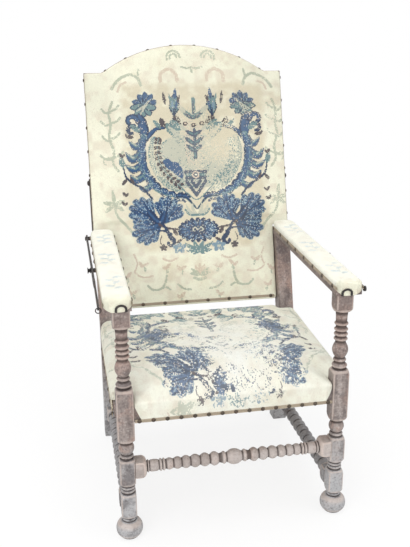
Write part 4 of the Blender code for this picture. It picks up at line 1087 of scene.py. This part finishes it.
def cover(name, columns, rows, kept, raised, folds, pins, pressure, cap, to_place, under):
    """Upholstered cover, in its own (across, along, out) frame.

    raised gives the starting height of a point, folds the rows turned down round the edge, pins how
    firmly a point is held, and under the cloth's thickness at the hem and the height at which the stuffing
    rests. Gives back the piece, and the middle and the corners of each of its stitches.
    """
    bm = bmesh.new()
    flat = bm.verts.layers.float_vector.new("flat")
    count = bm.verts.layers.float_vector.new("count")
    held = bm.verts.layers.float.new("held")

    def placed(a, b):
        u, v, height = raised(columns[a], rows[b])
        vert = bm.verts.new((u, v, height))
        vert[flat] = (u, v, 0)
        vert[count] = (a * 4, b * 4, 0)
        vert[held] = pins(u, v)
        return vert

    woven(bm, columns, rows, kept, placed)
    fold_down(bm, (flat, count, held), folds)
    bmesh.ops.recalc_face_normals(bm, faces=bm.faces[:])
    if sum(face.normal.z for face in bm.faces) < 0:
        bmesh.ops.reverse_faces(bm, faces=bm.faces[:])
    uv_flat = bm.loops.layers.uv.new("flat")
    uv_count = bm.loops.layers.uv.new("count")
    for face in bm.faces:
        for loop in face.loops:
            loop[uv_flat].uv = Vector(loop.vert[flat]).xy
            loop[uv_count].uv = Vector(loop.vert[count]).xy
    weights = [vert[held] for vert in bm.verts]
    piece = mesh_piece(name, bm)

    swell(piece, weights, pressure, cap)
    split_in_stitches(piece)
    stitches = len(piece.data.polygons)
    close_inside(piece.data, *under)

    places = np.empty(len(piece.data.loops) * 2)
    piece.data.uv_layers["flat"].data.foreach_get("uv", places)
    starts = np.empty(len(piece.data.polygons), dtype=np.int64)
    piece.data.polygons.foreach_get("loop_start", starts)
    quads = starts[:stitches, None] + np.arange(4)
    middles = places.reshape(-1, 2)[quads].mean(1)
    piece.data.transform(to_place)
    return piece, middles, quads


def dyed(piece, colours, quads):
    """Gives every stitch its colour, and bare canvas to the inside."""
    wool = piece.data.color_attributes.new("wool", "FLOAT_COLOR", "CORNER")
    loops = np.tile(np.array(WOOL["canvas"]), (len(piece.data.loops), 1))
    loops[quads, :3] = colours[:, None, :]
    wool.data.foreach_set("color", loops.ravel())
    piece.data.uv_layers.remove(piece.data.uv_layers["flat"])


needlework_finish = needlework()
SEAT_LOW = 0.335
FRONT_EDGE = 0.398
BACK_EDGE = 0.441
SEAT_TOP = 0.443
SEAT_ROLL = 0.020
CROWN_REACH = 0.180
TURN_IN = 0.010
PLAY = 0.0006
NEAR = 0.001
SEAT_CLOTH = 0.0025
seat_low, seat_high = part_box("seat_pad")
pad_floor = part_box("seat_webbing")[1].z + SEAM
stuffing_rest = pad_floor + 0.0012
front_half = LEG_X - LEG_HALF - PLAY
rear_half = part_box("rear_leg_right")[0].x - PLAY
notch_y = LEG_Y + LEG_HALF + PLAY
side_end_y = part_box("seat_rail_left")[1].y - SEAM
seat_x = [front_half - TURN_IN, rear_half - TURN_IN, seat_high.x - TURN_IN]
columns = lanes([-x for x in reversed(seat_x)] + seat_x)
rows = lanes([seat_low.y + TURN_IN, notch_y + TURN_IN, side_end_y - TURN_IN, seat_high.y - TURN_IN])


def in_seat(x, y):
    if abs(x) > seat_x[1] and y > side_end_y - TURN_IN:
        return False
    return not (abs(x) > seat_x[0] and y < notch_y + TURN_IN)


def seat_edge(y):
    """Height of the edge of the seat, which stands higher at the back."""
    return FRONT_EDGE + (BACK_EDGE - FRONT_EDGE) * (y - seat_low.y) / (seat_high.y - seat_low.y)


def rolled(y, inset):
    """Height of the roll at a distance in from the edge."""
    share = 0.35 + 0.65 * min(max(inset, 0.0) / SEAT_ROLL, 1.0) ** 0.42
    return pad_floor + (seat_edge(y) - pad_floor) * share


def seat_crown(x, y):
    by_leg = math.hypot(max(front_half - abs(x), 0.0), max(y - notch_y, 0.0))
    by_post = math.hypot(max(rear_half - abs(x), 0.0), max(side_end_y - y, 0.0))
    inset = min(seat_high.x - abs(x), y - seat_low.y, seat_high.y - y, by_leg, by_post)
    share = 1 - min(max(inset - SEAT_ROLL, 0.0) / CROWN_REACH, 1.0)
    lump = 0.0022 * math.sin(x * 23 + 1.3) * math.sin(y * 19 + 0.4)
    lump += 0.0012 * math.sin(x * 51) * math.sin(y * 47)
    height = rolled(y, inset) + (SEAT_TOP - seat_edge(y)) * (1 - share * share)
    return x, y, height - 0.0008 + lump * min(inset / 0.06, 1.0)


def by_upright(x, y):
    """Whether a point of the seat's edge lies where a leg or a rear post stands in its way."""
    past_notch = abs(x) > seat_x[0] - NEAR and y < notch_y + TURN_IN - NEAR
    behind_leg = seat_low.y + 0.02 < y < notch_y + TURN_IN + NEAR and abs(x) < seat_x[2] - NEAR
    by_post = abs(x) > seat_x[1] - NEAR and y > side_end_y - TURN_IN - NEAR
    corner = abs(x) > seat_x[2] - NEAR and not side_end_y - 0.02 > y > notch_y + 0.02
    return past_notch or behind_leg or by_post or corner


def seat_fold(out, drop):
    """Row of the skirt, that far out from the turn and that share of the way down to the nails."""
    def row(base):
        height = rolled(base.y, TURN_IN - out)
        height += (SEAT_LOW - height) * drop
        if by_upright(base.x, base.y):
            return out, max(height, stuffing_rest)
        return out - 0.003 * drop, height
    return row


seat_folds = [seat_fold(TURN_IN - 0.003, 0.0), seat_fold(TURN_IN, 0.0)]
seat_folds += [seat_fold(TURN_IN, drop) for drop in (0.2, 0.4, 0.6, 0.8, 1.0)]
seat_cover, middles, quads = cover(
    "seat_cover", columns, rows, in_seat, seat_crown, seat_folds, lambda x, y: 0.0, 2.2, 0.006,
    Matrix.Identity(4), (SEAT_CLOTH, stuffing_rest))

# The seat's own flowers, in with the garden
garden = pattern
pattern = [line for line in garden if line[1].max() < 33]
for tip in ((-196, 166), (-172, 188), (-132, 182), (-138, 148), (-178, 146)):
    leaf((-160, 166), tip, 19, "sage", both=False)
for x, y in ((-120, 178), (20, 170), (70, 178), (120, 186), (-40, 150)):
    leaf((x - 9, y - 3), (x + 9, y + 4), 9, "mist", both=False, rubbed=0.2)
for x, y, wool in ((-84, 268, "indigo"), (-76, 256, "indigo"), (-70, 244, "umber"), (-60, 234, "indigo"),
                   (-62, 216, "indigo"), (-50, 222, "blue"), (-42, 210, "indigo"), (-54, 204, "blue")):
    leaf((x + 7, y - 8), (x - 7, y + 8), 15, wool, both=False, rubbed=0.1)
worked([(22, 276), (42, 256), (40, 236)], [10, 22, 12], "mist", both=False, rubbed=0.2)
for x, y in ((-140, 462), (158, 466)):
    for turn in range(0, 360, 45):
        angle = math.radians(turn + x)
        tip = (x + 38 * math.cos(angle), y + 42 * math.sin(angle))
        leaf((x, y), tip, 24, "blue" if turn % 90 else "indigo", both=False, rubbed=0.2)
for x, y in ((-160, 640), (-120, 652), (-70, 640), (-20, 650), (-178, 600)):
    leaf((x + 26, y - 44), (x, y - 10), 26, "teal", rubbed=0.1)
    leaf((x + 18, y - 34), (x, y - 12), 9, "mist", rubbed=0.1)


def hump(u, v, middle, reach, power=2):
    """Soft rise about a point, 1 in the middle."""
    return np.exp(-((u - middle[0]) / reach[0]) ** power - ((v - middle[1]) / reach[1]) ** power)


# The design lies a little askew, is worn thin where people sat and is better kept in some places
u, v = middles[:, 0] * 1000 - 12, middles[:, 1] * 1000 + 205
u = (u + 0.09 * np.maximum(v, 0.0)) / (1.12 - 0.2 * np.clip(-v / 60, 0.0, 1.0))
v = 335 + v * np.where(v > 0, 0.93, 0.8)
kept = np.zeros(len(u))
for middle, reach, good in (
        ((-130, 290), (75, 90), 0.28), ((-52, 214), (26, 26), 0.8), ((160, 280), (50, 70), 0.3),
        ((-145, 458), (46, 50), 0.45), ((160, 462), (42, 50), 0.6), ((0, 600), (260, 60), 0.34),
        ((0, 505), (30, 60), 0.6)):
    kept = np.maximum(kept, good * hump(u, v, middle, reach))
thin = hump(u, v, (30, 262), (85, 75))
rounded = hump(u, v, (0, 435), (135, 85), 4)
patchy = mottle(u, v, 15.0, 11.0) * 0.5 + mottle(u, v, 6.5, 12.0) * 0.5
wear = 0.5 + 1.0 * thin + 0.4 * rounded + 0.4 * (mottle(u, v, 38.0, 7.0) - 0.5) + 1.4 * (patchy - 0.5) - kept
wear = np.clip(wear, 0.42, 1.1)
wear[middles[:, 1] > seat_high.y - 0.004] = 1.6
colours = stitched(u, v, wear, pattern, 0.3)
# Partly painted highlight, partly fading of the worn wool: the cover is whitened all over, most in the middle
# and where worn thin, and more on its lighter stitches, as light falling on the top would make it.
worn_and_lit = hump(u, v, (0, 380), (190, 210))
pale = np.clip(0.35 + 0.4 * worn_and_lit + 0.3 * thin, 0.0, 0.8) * (0.6 + 0.4 * mottle(u, v, 28.0, 13.0))
dyed(seat_cover, blended(colours, dye(242, 246, 248), pale * colours.mean(1)), quads)
fitted(seat_cover, "seat_pad", "frame", "needlework", needlework_finish)


# Braid and nails round the seat: a narrow tape with a plaited face, held by domed iron nails.
# The plait is one small strand laid slantwise, over and over, in two rows that meet like a herringbone.

BRAID_WIDTH = 0.009
TAPE_UNDER = 0.0001
TAPE_FACE = 0.0006
PLAIT_LEVEL = 0.0007
STRAND_SLANT = 0.7
NAIL_PITCH = 0.072
NAIL_LEVEL = 0.0012
NAIL_END = 0.010
SKIRT_IN = 0.0026


class Repeat(Nodes):
    """Geometry tree that repeats a small shape, with its sizes as named inputs."""

    def __init__(self, name, **sizes):
        super().__init__(bpy.data.node_groups.new(name, "GeometryNodeTree"))
        face = self.tree.interface
        face.new_socket("Geometry", in_out="INPUT", socket_type="NodeSocketGeometry")
        face.new_socket("Geometry", in_out="OUTPUT", socket_type="NodeSocketGeometry")
        for key, value in sizes.items():
            socket = face.new_socket(key, in_out="INPUT", socket_type="NodeSocketFloat")
            socket.default_value = value
        self.entry = self.tree.nodes.new("NodeGroupInput")

    def given(self, key):
        return Wire(self, self.entry.outputs[key])

    def ball(self, segments, rings, radius, *keys):
        """Smooth ball, scaled along each axis by a named input."""
        ball = self.node("GeometryNodeMeshUVSphere", None, {
            "Segments": segments, "Rings": rings, "Radius": radius})
        scale = self.node("ShaderNodeCombineXYZ", None, {
            axis: self.given(key) for axis, key in enumerate(keys)})
        scaled = self.node("GeometryNodeTransform", None, {"Geometry": ball, "Scale": scale})
        return self.node("GeometryNodeSetShadeSmooth", None, {"Geometry": scaled})

    def way_out(self):
        return self.node("GeometryNodeInputNamedAttribute", {"data_type": "FLOAT_VECTOR"}, {"Name": "out"})

    def close(self, shape, material):
        whole = self.node("GeometryNodeRealizeInstances", None, {0: shape})
        dressed = self.node("GeometryNodeSetMaterial", None, {"Geometry": whole, "Material": material})
        end = self.tree.nodes.new("NodeGroupOutput")
        self.join(dressed, end.inputs[0])

    def made(self, points, outs, edges):
        """Plain mesh of the shape repeated on a line or on loose points, each with its way out."""
        mesh = bpy.data.meshes.new("line")
        mesh.from_pydata([tuple(p) for p in points], edges, [])
        way = mesh.attributes.new("out", "FLOAT_VECTOR", "POINT")
        way.data.foreach_set("vector", [value for out in outs for value in out])
        holder = bpy.data.objects.new("line", mesh)
        scene.collection.objects.link(holder)
        step = holder.modifiers.new("repeat", "NODES")
        step.node_group = self.tree
        whole = bpy.data.meshes.new_from_object(holder.evaluated_get(bpy.context.evaluated_depsgraph_get()))
        bpy.data.objects.remove(holder)
        return whole


def braid_finish():
    finish = Finish("silk braid")
    place = finish.place()
    strand = finish.spots(place, 700.0, 3.0, 0.6)
    faded = finish.spots(place, 26.0, 4.0, 0.6)
    colour = finish.mix(faded, dye(138, 124, 106), dye(190, 177, 156))
    colour = finish.mix(finish.between(strand, 0.56, 0.3) * 0.6, colour, dye(96, 82, 68))
    return finish.coat(Base_Color=colour, Roughness=strand * 0.2 + 0.6,
                       Normal=finish.relief(strand, 0.0005))


def iron_finish(name, bright):
    """Forged iron, dark with old scale, brighter or rustier in patches."""
    finish = Finish(name)
    place = finish.place()
    hammered = finish.spots(place, 130.0, 4.0, 0.55)
    scale = finish.spots(place, 420.0, 5.0, 0.65)
    rust = finish.between(finish.spots(place, 55.0, 5.0, 0.65), 0.52, 0.68)
    colour = finish.mix(hammered, dye(38, 36, 37), dye(*bright))
    colour = finish.mix(rust * 0.55, colour, dye(92, 62, 46))
    rough = scale * 0.3 + 0.35 + rust * 0.2
    return finish.coat(Base_Color=colour, Metallic=0.75 - rust * 0.6, Roughness=rough,
                       Normal=finish.relief(hammered * 0.7 + scale * 0.4, 0.0006))


plait = Repeat("plait", Pitch=0.0028, Length=0.0062, Breadth=0.0027, Height=0.0016, Offset=0.0021)
line = plait.node("GeometryNodeMeshToCurve", None, {0: plait.given("Geometry")})
line = plait.node("GeometryNodeResampleCurve", {"mode": "LENGTH"},
                  {"Curve": line, "Length": plait.given("Pitch")})
strand = plait.ball(8, 5, 0.5, "Length", "Breadth", "Height")
facing = plait.node("FunctionNodeAxesToRotation", {"primary_axis": "Z", "secondary_axis": "X"}, {
    0: plait.way_out(), 1: plait.node("GeometryNodeInputTangent")})
pair = plait.tree.nodes.new("GeometryNodeJoinGeometry")
for side in (-1, 1):
    row = plait.node("GeometryNodeInstanceOnPoints", None, {
        "Points": line, "Instance": strand, "Rotation": facing})
    shift = plait.node("ShaderNodeCombineXYZ", None, {1: plait.given("Offset") * side})
    row = plait.node("GeometryNodeTranslateInstances", None, {
        "Instances": row, "Translation": shift, "Local Space": True})
    row = plait.node("GeometryNodeRotateInstances", None, {
        "Instances": row, "Rotation": (0.0, 0.0, -side * STRAND_SLANT), "Local Space": True})
    plait.join(row, pair.inputs[0])
silk = braid_finish()
plait.close(Wire(plait, pair.outputs[0]), silk)

heads = Repeat("domed nails", Radius=0.0056, Height=0.003)
dome = heads.ball(16, 10, 1.0, "Radius", "Radius", "Height")
aim = heads.node("FunctionNodeAlignRotationToVector", {"axis": "Z"}, {"Vector": heads.way_out()})
nailed = heads.node("GeometryNodeInstanceOnPoints", None, {
    "Points": heads.given("Geometry"), "Instance": dome, "Rotation": aim})
nail_iron = iron_finish("nail iron", (112, 100, 86))
heads.close(nailed, nail_iron)


def spread(low, high, pitch=NAIL_PITCH):
    """Evenly set places between two ends, about one pitch apart."""
    count = max(1, round((high - low) / pitch))
    return [low + (high - low) * i / count for i in range(count + 1)]


def straight(start, end, step=0.02):
    """Points along a straight line, about one step apart."""
    count = max(2, round((end - start).length / step))
    return [start.lerp(end, i / count) for i in range(count + 1)]


def galloon(node_name, body, path, outs, nails, nail_outs):
    """Braid along a line on a face, with its nails. Takes the place of a plain strip of the frame."""
    bm = bmesh.new()
    rows = []
    for number, (spot, out) in enumerate(zip(path, outs)):
        before, after = path[max(number - 1, 0)], path[min(number + 1, len(path) - 1)]
        side = out.cross(after - before).normalized() * BRAID_WIDTH / 2
        section = ((side, TAPE_UNDER), (side, TAPE_FACE), (-side, TAPE_FACE), (-side, TAPE_UNDER))
        rows.append([bm.verts.new(spot + across + out * level) for across, level in section])
    lofted(bm, rows)
    bmesh.ops.recalc_face_normals(bm, faces=bm.faces[:])
    tape = len(bm.faces)
    links = [(i, i + 1) for i in range(len(path) - 1)]
    bm.from_mesh(plait.made([p + o * PLAIT_LEVEL for p, o in zip(path, outs)], outs, links))
    plaited = len(bm.faces)
    bm.from_mesh(heads.made([p + o * NAIL_LEVEL for p, o in zip(nails, nail_outs)], nail_outs, []))
    bm.faces.ensure_lookup_table()
    for number, face in enumerate(bm.faces):
        face.material_index = 0 if number < plaited else 1
        face.smooth = number >= tape
    piece = mesh_piece(node_name.replace("braid", "galloon"), bm)
    fitted(piece, node_name, body, "braid", silk, nail_iron)


def straight_galloon(node_name, body, start, end, nails, out):
    path = straight(start, end)
    galloon(node_name, body, path, [out] * len(path), nails, [out] * len(nails))


low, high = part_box("seat_braid_front")
level, face = (low.z + high.z) / 2, seat_low.y + SKIRT_IN
pins = [Vector((x, face, level)) for x in spread(low.x + NAIL_END, high.x - NAIL_END, NAIL_PITCH / 2)]
straight_galloon("seat_braid_front", "frame", Vector((low.x, face, level)), Vector((high.x, face, level)),
                 pins, Vector((0, -1, 0)))
for name, side in (("left", -1), ("right", 1)):
    low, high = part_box(f"seat_braid_{name}")
    face = side * (seat_high.x - SKIRT_IN)
    pins = [Vector((face, y, level)) for y in spread(low.y + NAIL_END, high.y - NAIL_END)]
    straight_galloon(f"seat_braid_{name}", "frame", Vector((face, low.y, level)),
                     Vector((face, high.y, level)), pins, Vector((side, 0, 0)))


# Arm pads: needlework over a thin stuffing on the arm rails, turned down on both sides to a braid
# and over the front end. Only traces of a leafy trail are left on them.

ARM_X = 0.289
ARM_FRONT = -0.026 + LEG_Y
ARM_HALF = 0.0345
ARM_BARE = 0.0132
ARM_TOP = 0.0380
ARM_TURN = 0.009
ARM_CLOTH = 0.0034
ARM_STUFFING = 0.0225
PEG_PLACE = 0.2951
LEAN = math.radians(14.84)
BACK_Y = 0.5098 + LEG_Y
BACK_Z = 0.448
POST_HALF = 0.020


def arm_end(height):
    """Length of the arm to the rear post, at a height above the underside of the rail."""
    post_y = BACK_Y - POST_HALF * math.cos(LEAN)
    post_z = BACK_Z + POST_HALF * math.sin(LEAN)
    start = ARM_FRONT - height * math.sin(ARM_RISE) - post_y
    above = ARM_UNDER + height * math.cos(ARM_RISE) - post_z
    slope = math.cos(ARM_RISE) - math.sin(ARM_RISE) * math.tan(LEAN)
    return (above * math.tan(LEAN) - start) / slope - PLAY


columns = lanes([-ARM_HALF + ARM_TURN, ARM_HALF - ARM_TURN], 0.0085)
rows = lanes([ARM_TURN, arm_end(0.040) - 0.003])


def arm_crown(x, y):
    share = abs(x) / (ARM_HALF - ARM_TURN)
    lump = 0.0006 * math.sin(y * 61 + x * 20) + 0.0004 * math.sin(y * 143)
    return x, y, ARM_TOP + 0.0014 * (1 - share * share) + lump


def arm_fold(out, side_height, front_height):
    """Row of the turned down cloth, which reaches lower at the front end and stops at the rear post."""
    def row(base):
        if base.y > rows[-1] - NEAR:
            return arm_end(side_height) - 0.0008 - base.y, side_height
        if base.y > ARM_TURN + NEAR:
            return out, side_height
        if abs(base.x) < ARM_HALF - ARM_TURN - NEAR:
            return out, front_height
        return out, max(front_height, side_height)
    return row


arm_folds = [arm_fold(out, side_height, front_height) for out, side_height, front_height in (
    (0.0062, 0.0356, 0.0356), (0.0086, 0.0310, 0.0310), (0.009, 0.0255, 0.0235),
    (0.009, 0.0205, 0.0155), (0.009, 0.0170, 0.0080), (0.009, 0.0136, 0.0005))]
pattern = []
for place, lean in ((96, 1), (290, -1), (470, 1)):
    twig = ((-12, -44), (2, -14), (-2, 16), (10, 48))
    worked([(x * lean, place + y) for x, y in twig], 1.8, "sage", both=False, rubbed=0.3)
    for out, along in ((22, -30), (-20, -10), (20, 8), (-19, 30), (24, 44)):
        y = place + along
        leaf((0, y - 12), (out * lean, y + 4), 14, "frost", 0.1, both=False, rubbed=0.3)
        leaf((0, y - 10), (out * 0.7 * lean, y), 5, "teal", 0.1, both=False, rubbed=0.5)
for name, side in (("left", -1), ("right", 1)):
    to_arm = Matrix.Translation((ARM_X * side, ARM_FRONT, ARM_UNDER)) @ Matrix.Rotation(ARM_RISE, 4, "X")
    arm_cover, middles, quads = cover(
        f"arm_cover_{name}", columns, rows, lambda x, y: True, arm_crown, arm_folds, lambda x, y: 0.0,
        1.2, 0.0025, to_arm, (ARM_CLOTH, ARM_STUFFING))
    u, v = middles[:, 0] * 1000, middles[:, 1] * 1000
    wear = np.clip(0.35 + 0.5 * (mottle(u, v, 40.0, 8.0 + side) - 0.5), 0.0, 1.0)
    # Painted highlight: all of the cover but its front end is whitened, as light falling on the top would
    # make it.
    painted_top_highlight = 0.5 * np.clip(v / 20, 0.0, 1.0)
    dyed(arm_cover, blended(stitched(u, v, wear, pattern, 0.0), dye(251, 252, 247), painted_top_highlight), quads)
    fitted(arm_cover, f"arm_pad_{name}", "frame", "needlework", needlework_finish)

    level = ARM_BARE + 0.0012 + BRAID_WIDTH / 2
    far = arm_end(ARM_BARE) - 0.004
    for edge_name, outwards in (("inner", -side), ("outer", side)):
        face = outwards * (ARM_HALF + SEAM)
        places = spread(0.030, far - 0.012)
        if outwards == side:
            places = [y for y in places if y > 0.19 and abs(y - PEG_PLACE) > 0.016]
        pins = [to_arm @ Vector((face, y, level)) for y in places]
        straight_galloon(f"arm_braid_{edge_name}_{name}", "frame", to_arm @ Vector((face, 0.003, level)),
                         to_arm @ Vector((face, far, level)), pins,
                         (to_arm.to_3x3() @ Vector((outwards, 0, 0))).normalized())


# Back: the same garden in needlework, on a thin flat stuffing over an arched frame.
# The cover is drawn round the edges of the frame and nailed behind.

BACK_HALF = 0.312
BACK_LOW_HALF = 0.262
BACK_STEP = 0.2411
BACK_SHOULDER = 0.732
ARCH_PEAK = 0.816
ARCH_RADIUS = 0.432
ARCH_MIDDLE = ARCH_PEAK - ARCH_RADIUS
BACK_THICK = 0.038
BACK_TURN = 0.004
BACK_ROLL = 0.012
BACK_CLOTH = 0.0032
BACK_STUFFING = -0.0076
STRAIGHT_TO = 0.60
to_back = Matrix(((1, 0, 0, 0), (0, math.sin(LEAN), -math.cos(LEAN), BACK_Y),
                  (0, math.cos(LEAN), math.sin(LEAN), BACK_Z), (0, 0, 0, 1)))
arch_foot = math.sqrt(ARCH_RADIUS ** 2 - (BACK_SHOULDER - ARCH_PEAK + ARCH_RADIUS) ** 2)


def back_top(u, inset):
    """Height of the upper edge across the back."""
    if abs(u) > arch_foot - inset * 0.2:
        return BACK_SHOULDER - inset
    return max(ARCH_MIDDLE + math.sqrt((ARCH_RADIUS - inset) ** 2 - u * u), BACK_SHOULDER - inset)


def to_arch(u, v, inset):
    """Height of a row on the back, where the upper rows are drawn together under the arch."""
    if v <= STRAIGHT_TO:
        return v
    full = ARCH_PEAK - inset - STRAIGHT_TO
    return STRAIGHT_TO + (v - STRAIGHT_TO) * (back_top(u, inset) - STRAIGHT_TO) / full


def back_lanes(inset, cell=CELL):
    """Columns and rows of cloth on the back, and the test of whether a cell lies inside its outline."""
    half = [BACK_LOW_HALF - inset, BACK_HALF - inset]
    columns = lanes([-half[1], -half[0], half[0], half[1]], cell)
    rows = lanes([inset, BACK_STEP + inset, STRAIGHT_TO, ARCH_PEAK - inset], cell)
    return columns, rows, lambda u, v: abs(u) < half[0] or v > BACK_STEP + inset


def back_crown(u, v):
    v = to_arch(u, v, BACK_TURN)
    side = BACK_HALF - abs(u) if v > BACK_STEP + 0.03 else BACK_LOW_HALF - abs(u)
    inset = min(side, v, back_top(u, 0.0) - v)
    share = min(max((inset - BACK_ROLL) / 0.078, 0.0), 1.0)
    lump = 0.0013 * math.sin(u * 27 + 0.7) * math.sin(v * 21)
    lump += 0.0007 * math.sin(u * 63) * math.sin(v * 57 + 1)
    return u, v, 0.0004 + 0.0108 * math.sin(math.pi / 2 * share) + lump * share


def back_fold(out, height):
    return lambda base: (out, height)


def back_pins(u, v):
    """The cover is held down along the braid at the bottom and drawn in a little all round."""
    if v < 0.018:
        return 0.9
    return 0.5 if min(BACK_HALF - abs(u), back_top(u, 0.0) - v) < BACK_ROLL else 0.0


back_folds = [back_fold(BACK_TURN - 0.0012, -0.0008)]
back_folds += [back_fold(BACK_TURN, height) for height in (-0.0035, -0.013, -0.025, -BACK_THICK)]
columns, rows, in_back = back_lanes(BACK_TURN)
back_cover, middles, quads = cover(
    "back_cover", columns, rows, in_back, back_crown, back_folds, back_pins, 1.6, 0.005, to_back,
    (BACK_CLOTH, BACK_STUFFING))
u, v = middles[:, 0] * 1000, middles[:, 1] * 1000
u = u - 14 - (v - 330) * 0.012
u = np.where(u > 0, u / 1.04, u)
right = hump(u, v, (88, 495), (50, 65))
wear = np.clip(0.12 + 0.55 * (mottle(u, v, 60.0, 11.0) - 0.45) + 0.6 * right + 0.1 * (u > 0), 0.0, 0.9)
# Painted shade: the cover is made a little brighter at the bottom and darker towards the top.
painted_shade_upwards = 1.05 - 0.17 * np.clip(v / 700, 0.0, 1.0)
dyed(back_cover, np.minimum(stitched(u, v, wear, garden, 1.0) * painted_shade_upwards[:, None], 1.0), quads)
fitted(back_cover, "back_pad", "back", "needlework", needlework_finish)


# Braids of the back: one along the lower edge of the cover, one round the sides and the arch.
# They are the same plaited tape as on the seat, with the same nails, and cover the turned edge.

turn = to_back.to_3x3()
level = 0.0055 + BRAID_WIDTH / 2
end = BACK_LOW_HALF - 0.010
pins = [to_back @ Vector((u, level, TAPE_FACE)) for u in spread(-BACK_LOW_HALF + 0.02, BACK_LOW_HALF - 0.02)]
straight_galloon("back_braid_bottom", "back", to_back @ Vector((-end, level, TAPE_FACE)),
                 to_back @ Vector((end, level, TAPE_FACE)), pins, turn @ Vector((0, 0, 1)))

depth = -0.005 - BRAID_WIDTH / 2
low = BACK_STEP + 0.004
foot = math.asin((BACK_SHOULDER - ARCH_PEAK + ARCH_RADIUS) / ARCH_RADIUS)


def on_arch(angle):
    """Place on the arch, and the way out from it."""
    across, up = math.cos(angle), math.sin(angle)
    return ARCH_RADIUS * across, ARCH_MIDDLE + ARCH_RADIUS * up, across, up


def set_on_edge(spots):
    """Places of spots round the edge of the leaning back, and their ways out."""
    return ([to_back @ Vector((x, y, depth)) for x, y, _, _ in spots],
            [turn @ Vector((across, up, 0)) for _, _, across, up in spots])


side_line = straight(Vector((BACK_HALF, low, 0)), Vector((BACK_HALF, BACK_SHOULDER, 0)))
shoulder_line = straight(Vector((BACK_HALF - 0.002, BACK_SHOULDER, 0)),
                         Vector((arch_foot + 0.004, BACK_SHOULDER, 0)))
half_edge = [(spot.x, spot.y, 1.0, 0.0) for spot in side_line]
half_edge += [(spot.x, spot.y, 0.0, 1.0) for spot in shoulder_line]
half_edge += [on_arch(foot + (math.pi / 2 - foot) * i / 24) for i in range(1, 25)]
other_half = [(-x, y, -across, up) for x, y, across, up in reversed(half_edge[:-1])]
nail_spots = [(side * BACK_HALF, along, side, 0.0)
              for along in spread(low + 0.03, BACK_SHOULDER - 0.02) for side in (-1, 1)]
nail_spots += [on_arch(angle)
               for angle in spread(foot + 0.03, math.pi - foot - 0.03, NAIL_PITCH / ARCH_RADIUS)]
galloon("back_braid_edge", "back", *set_on_edge(half_edge + other_half), *set_on_edge(nail_spots))


# Linen behind the back: one piece of plain cloth, cut to the arch.
# It is stretched over the open rear of the frame and tacked to it.

HEM = 0.0043
LINEN_LEVEL = -0.0371
columns, rows, in_linen = back_lanes(HEM, 0.014)
bm = bmesh.new()


def on_linen(a, b):
    u = columns[a]
    v = to_arch(u, rows[b], HEM)
    free = min(1.0, max(0.0, min(BACK_HALF - abs(u), v, back_top(u, 0.0) - v) - 0.03) / 0.05)
    sag = free * (0.0006 + 0.0005 * math.sin(u * 31) * math.sin(v * 23))
    return bm.verts.new(to_back @ Vector((u, v, LINEN_LEVEL - sag)))


woven(bm, columns, rows, in_linen, on_linen, behind=True)
linen = mesh_piece("back_linen", bm)
finish = Finish("plain linen")
place = finish.place()
weave = (finish.axis(place, 0) * 3900.0).wave() * (finish.axis(place, 2) * 3900.0).wave()
slub = finish.spots(finish.scaled(place, (30.0, 30.0, 260.0)), 1.0)
stain = finish.spots(place, 7.0, 5.0, 0.6)
colour = finish.mix(slub, dye(176, 160, 128), dye(202, 188, 158))
colour = finish.mix(finish.between(stain, 0.5, 0.75) * 0.5, colour, dye(150, 130, 98))
finish.coat(Base_Color=colour, Roughness=0.92, Normal=finish.relief(weave * 0.4 + slub * 0.6, 0.0005))
fitted(linen, "back_cloth", "back", "linen", finish.material)


# Ironwork: forged straps on the sides of the back carry slotted stays, which slide on spools in the arms.
# Pins, spools, rivets and studs are turned or filed bright and have gone dark.

iron = iron_finish("forged iron", (84, 80, 78))
for name in ("left", "right"):
    coated((f"back_strap_{name}", f"stay_bar_{name}", f"front_strap_{name}", f"hinge_pin_{name}",
            f"stay_peg_{name}", f"stay_rivet_{name}", f"strap_stud_{name}"), iron)
coated(("stay_ring",), iron)

bpy.context.view_layer.update()
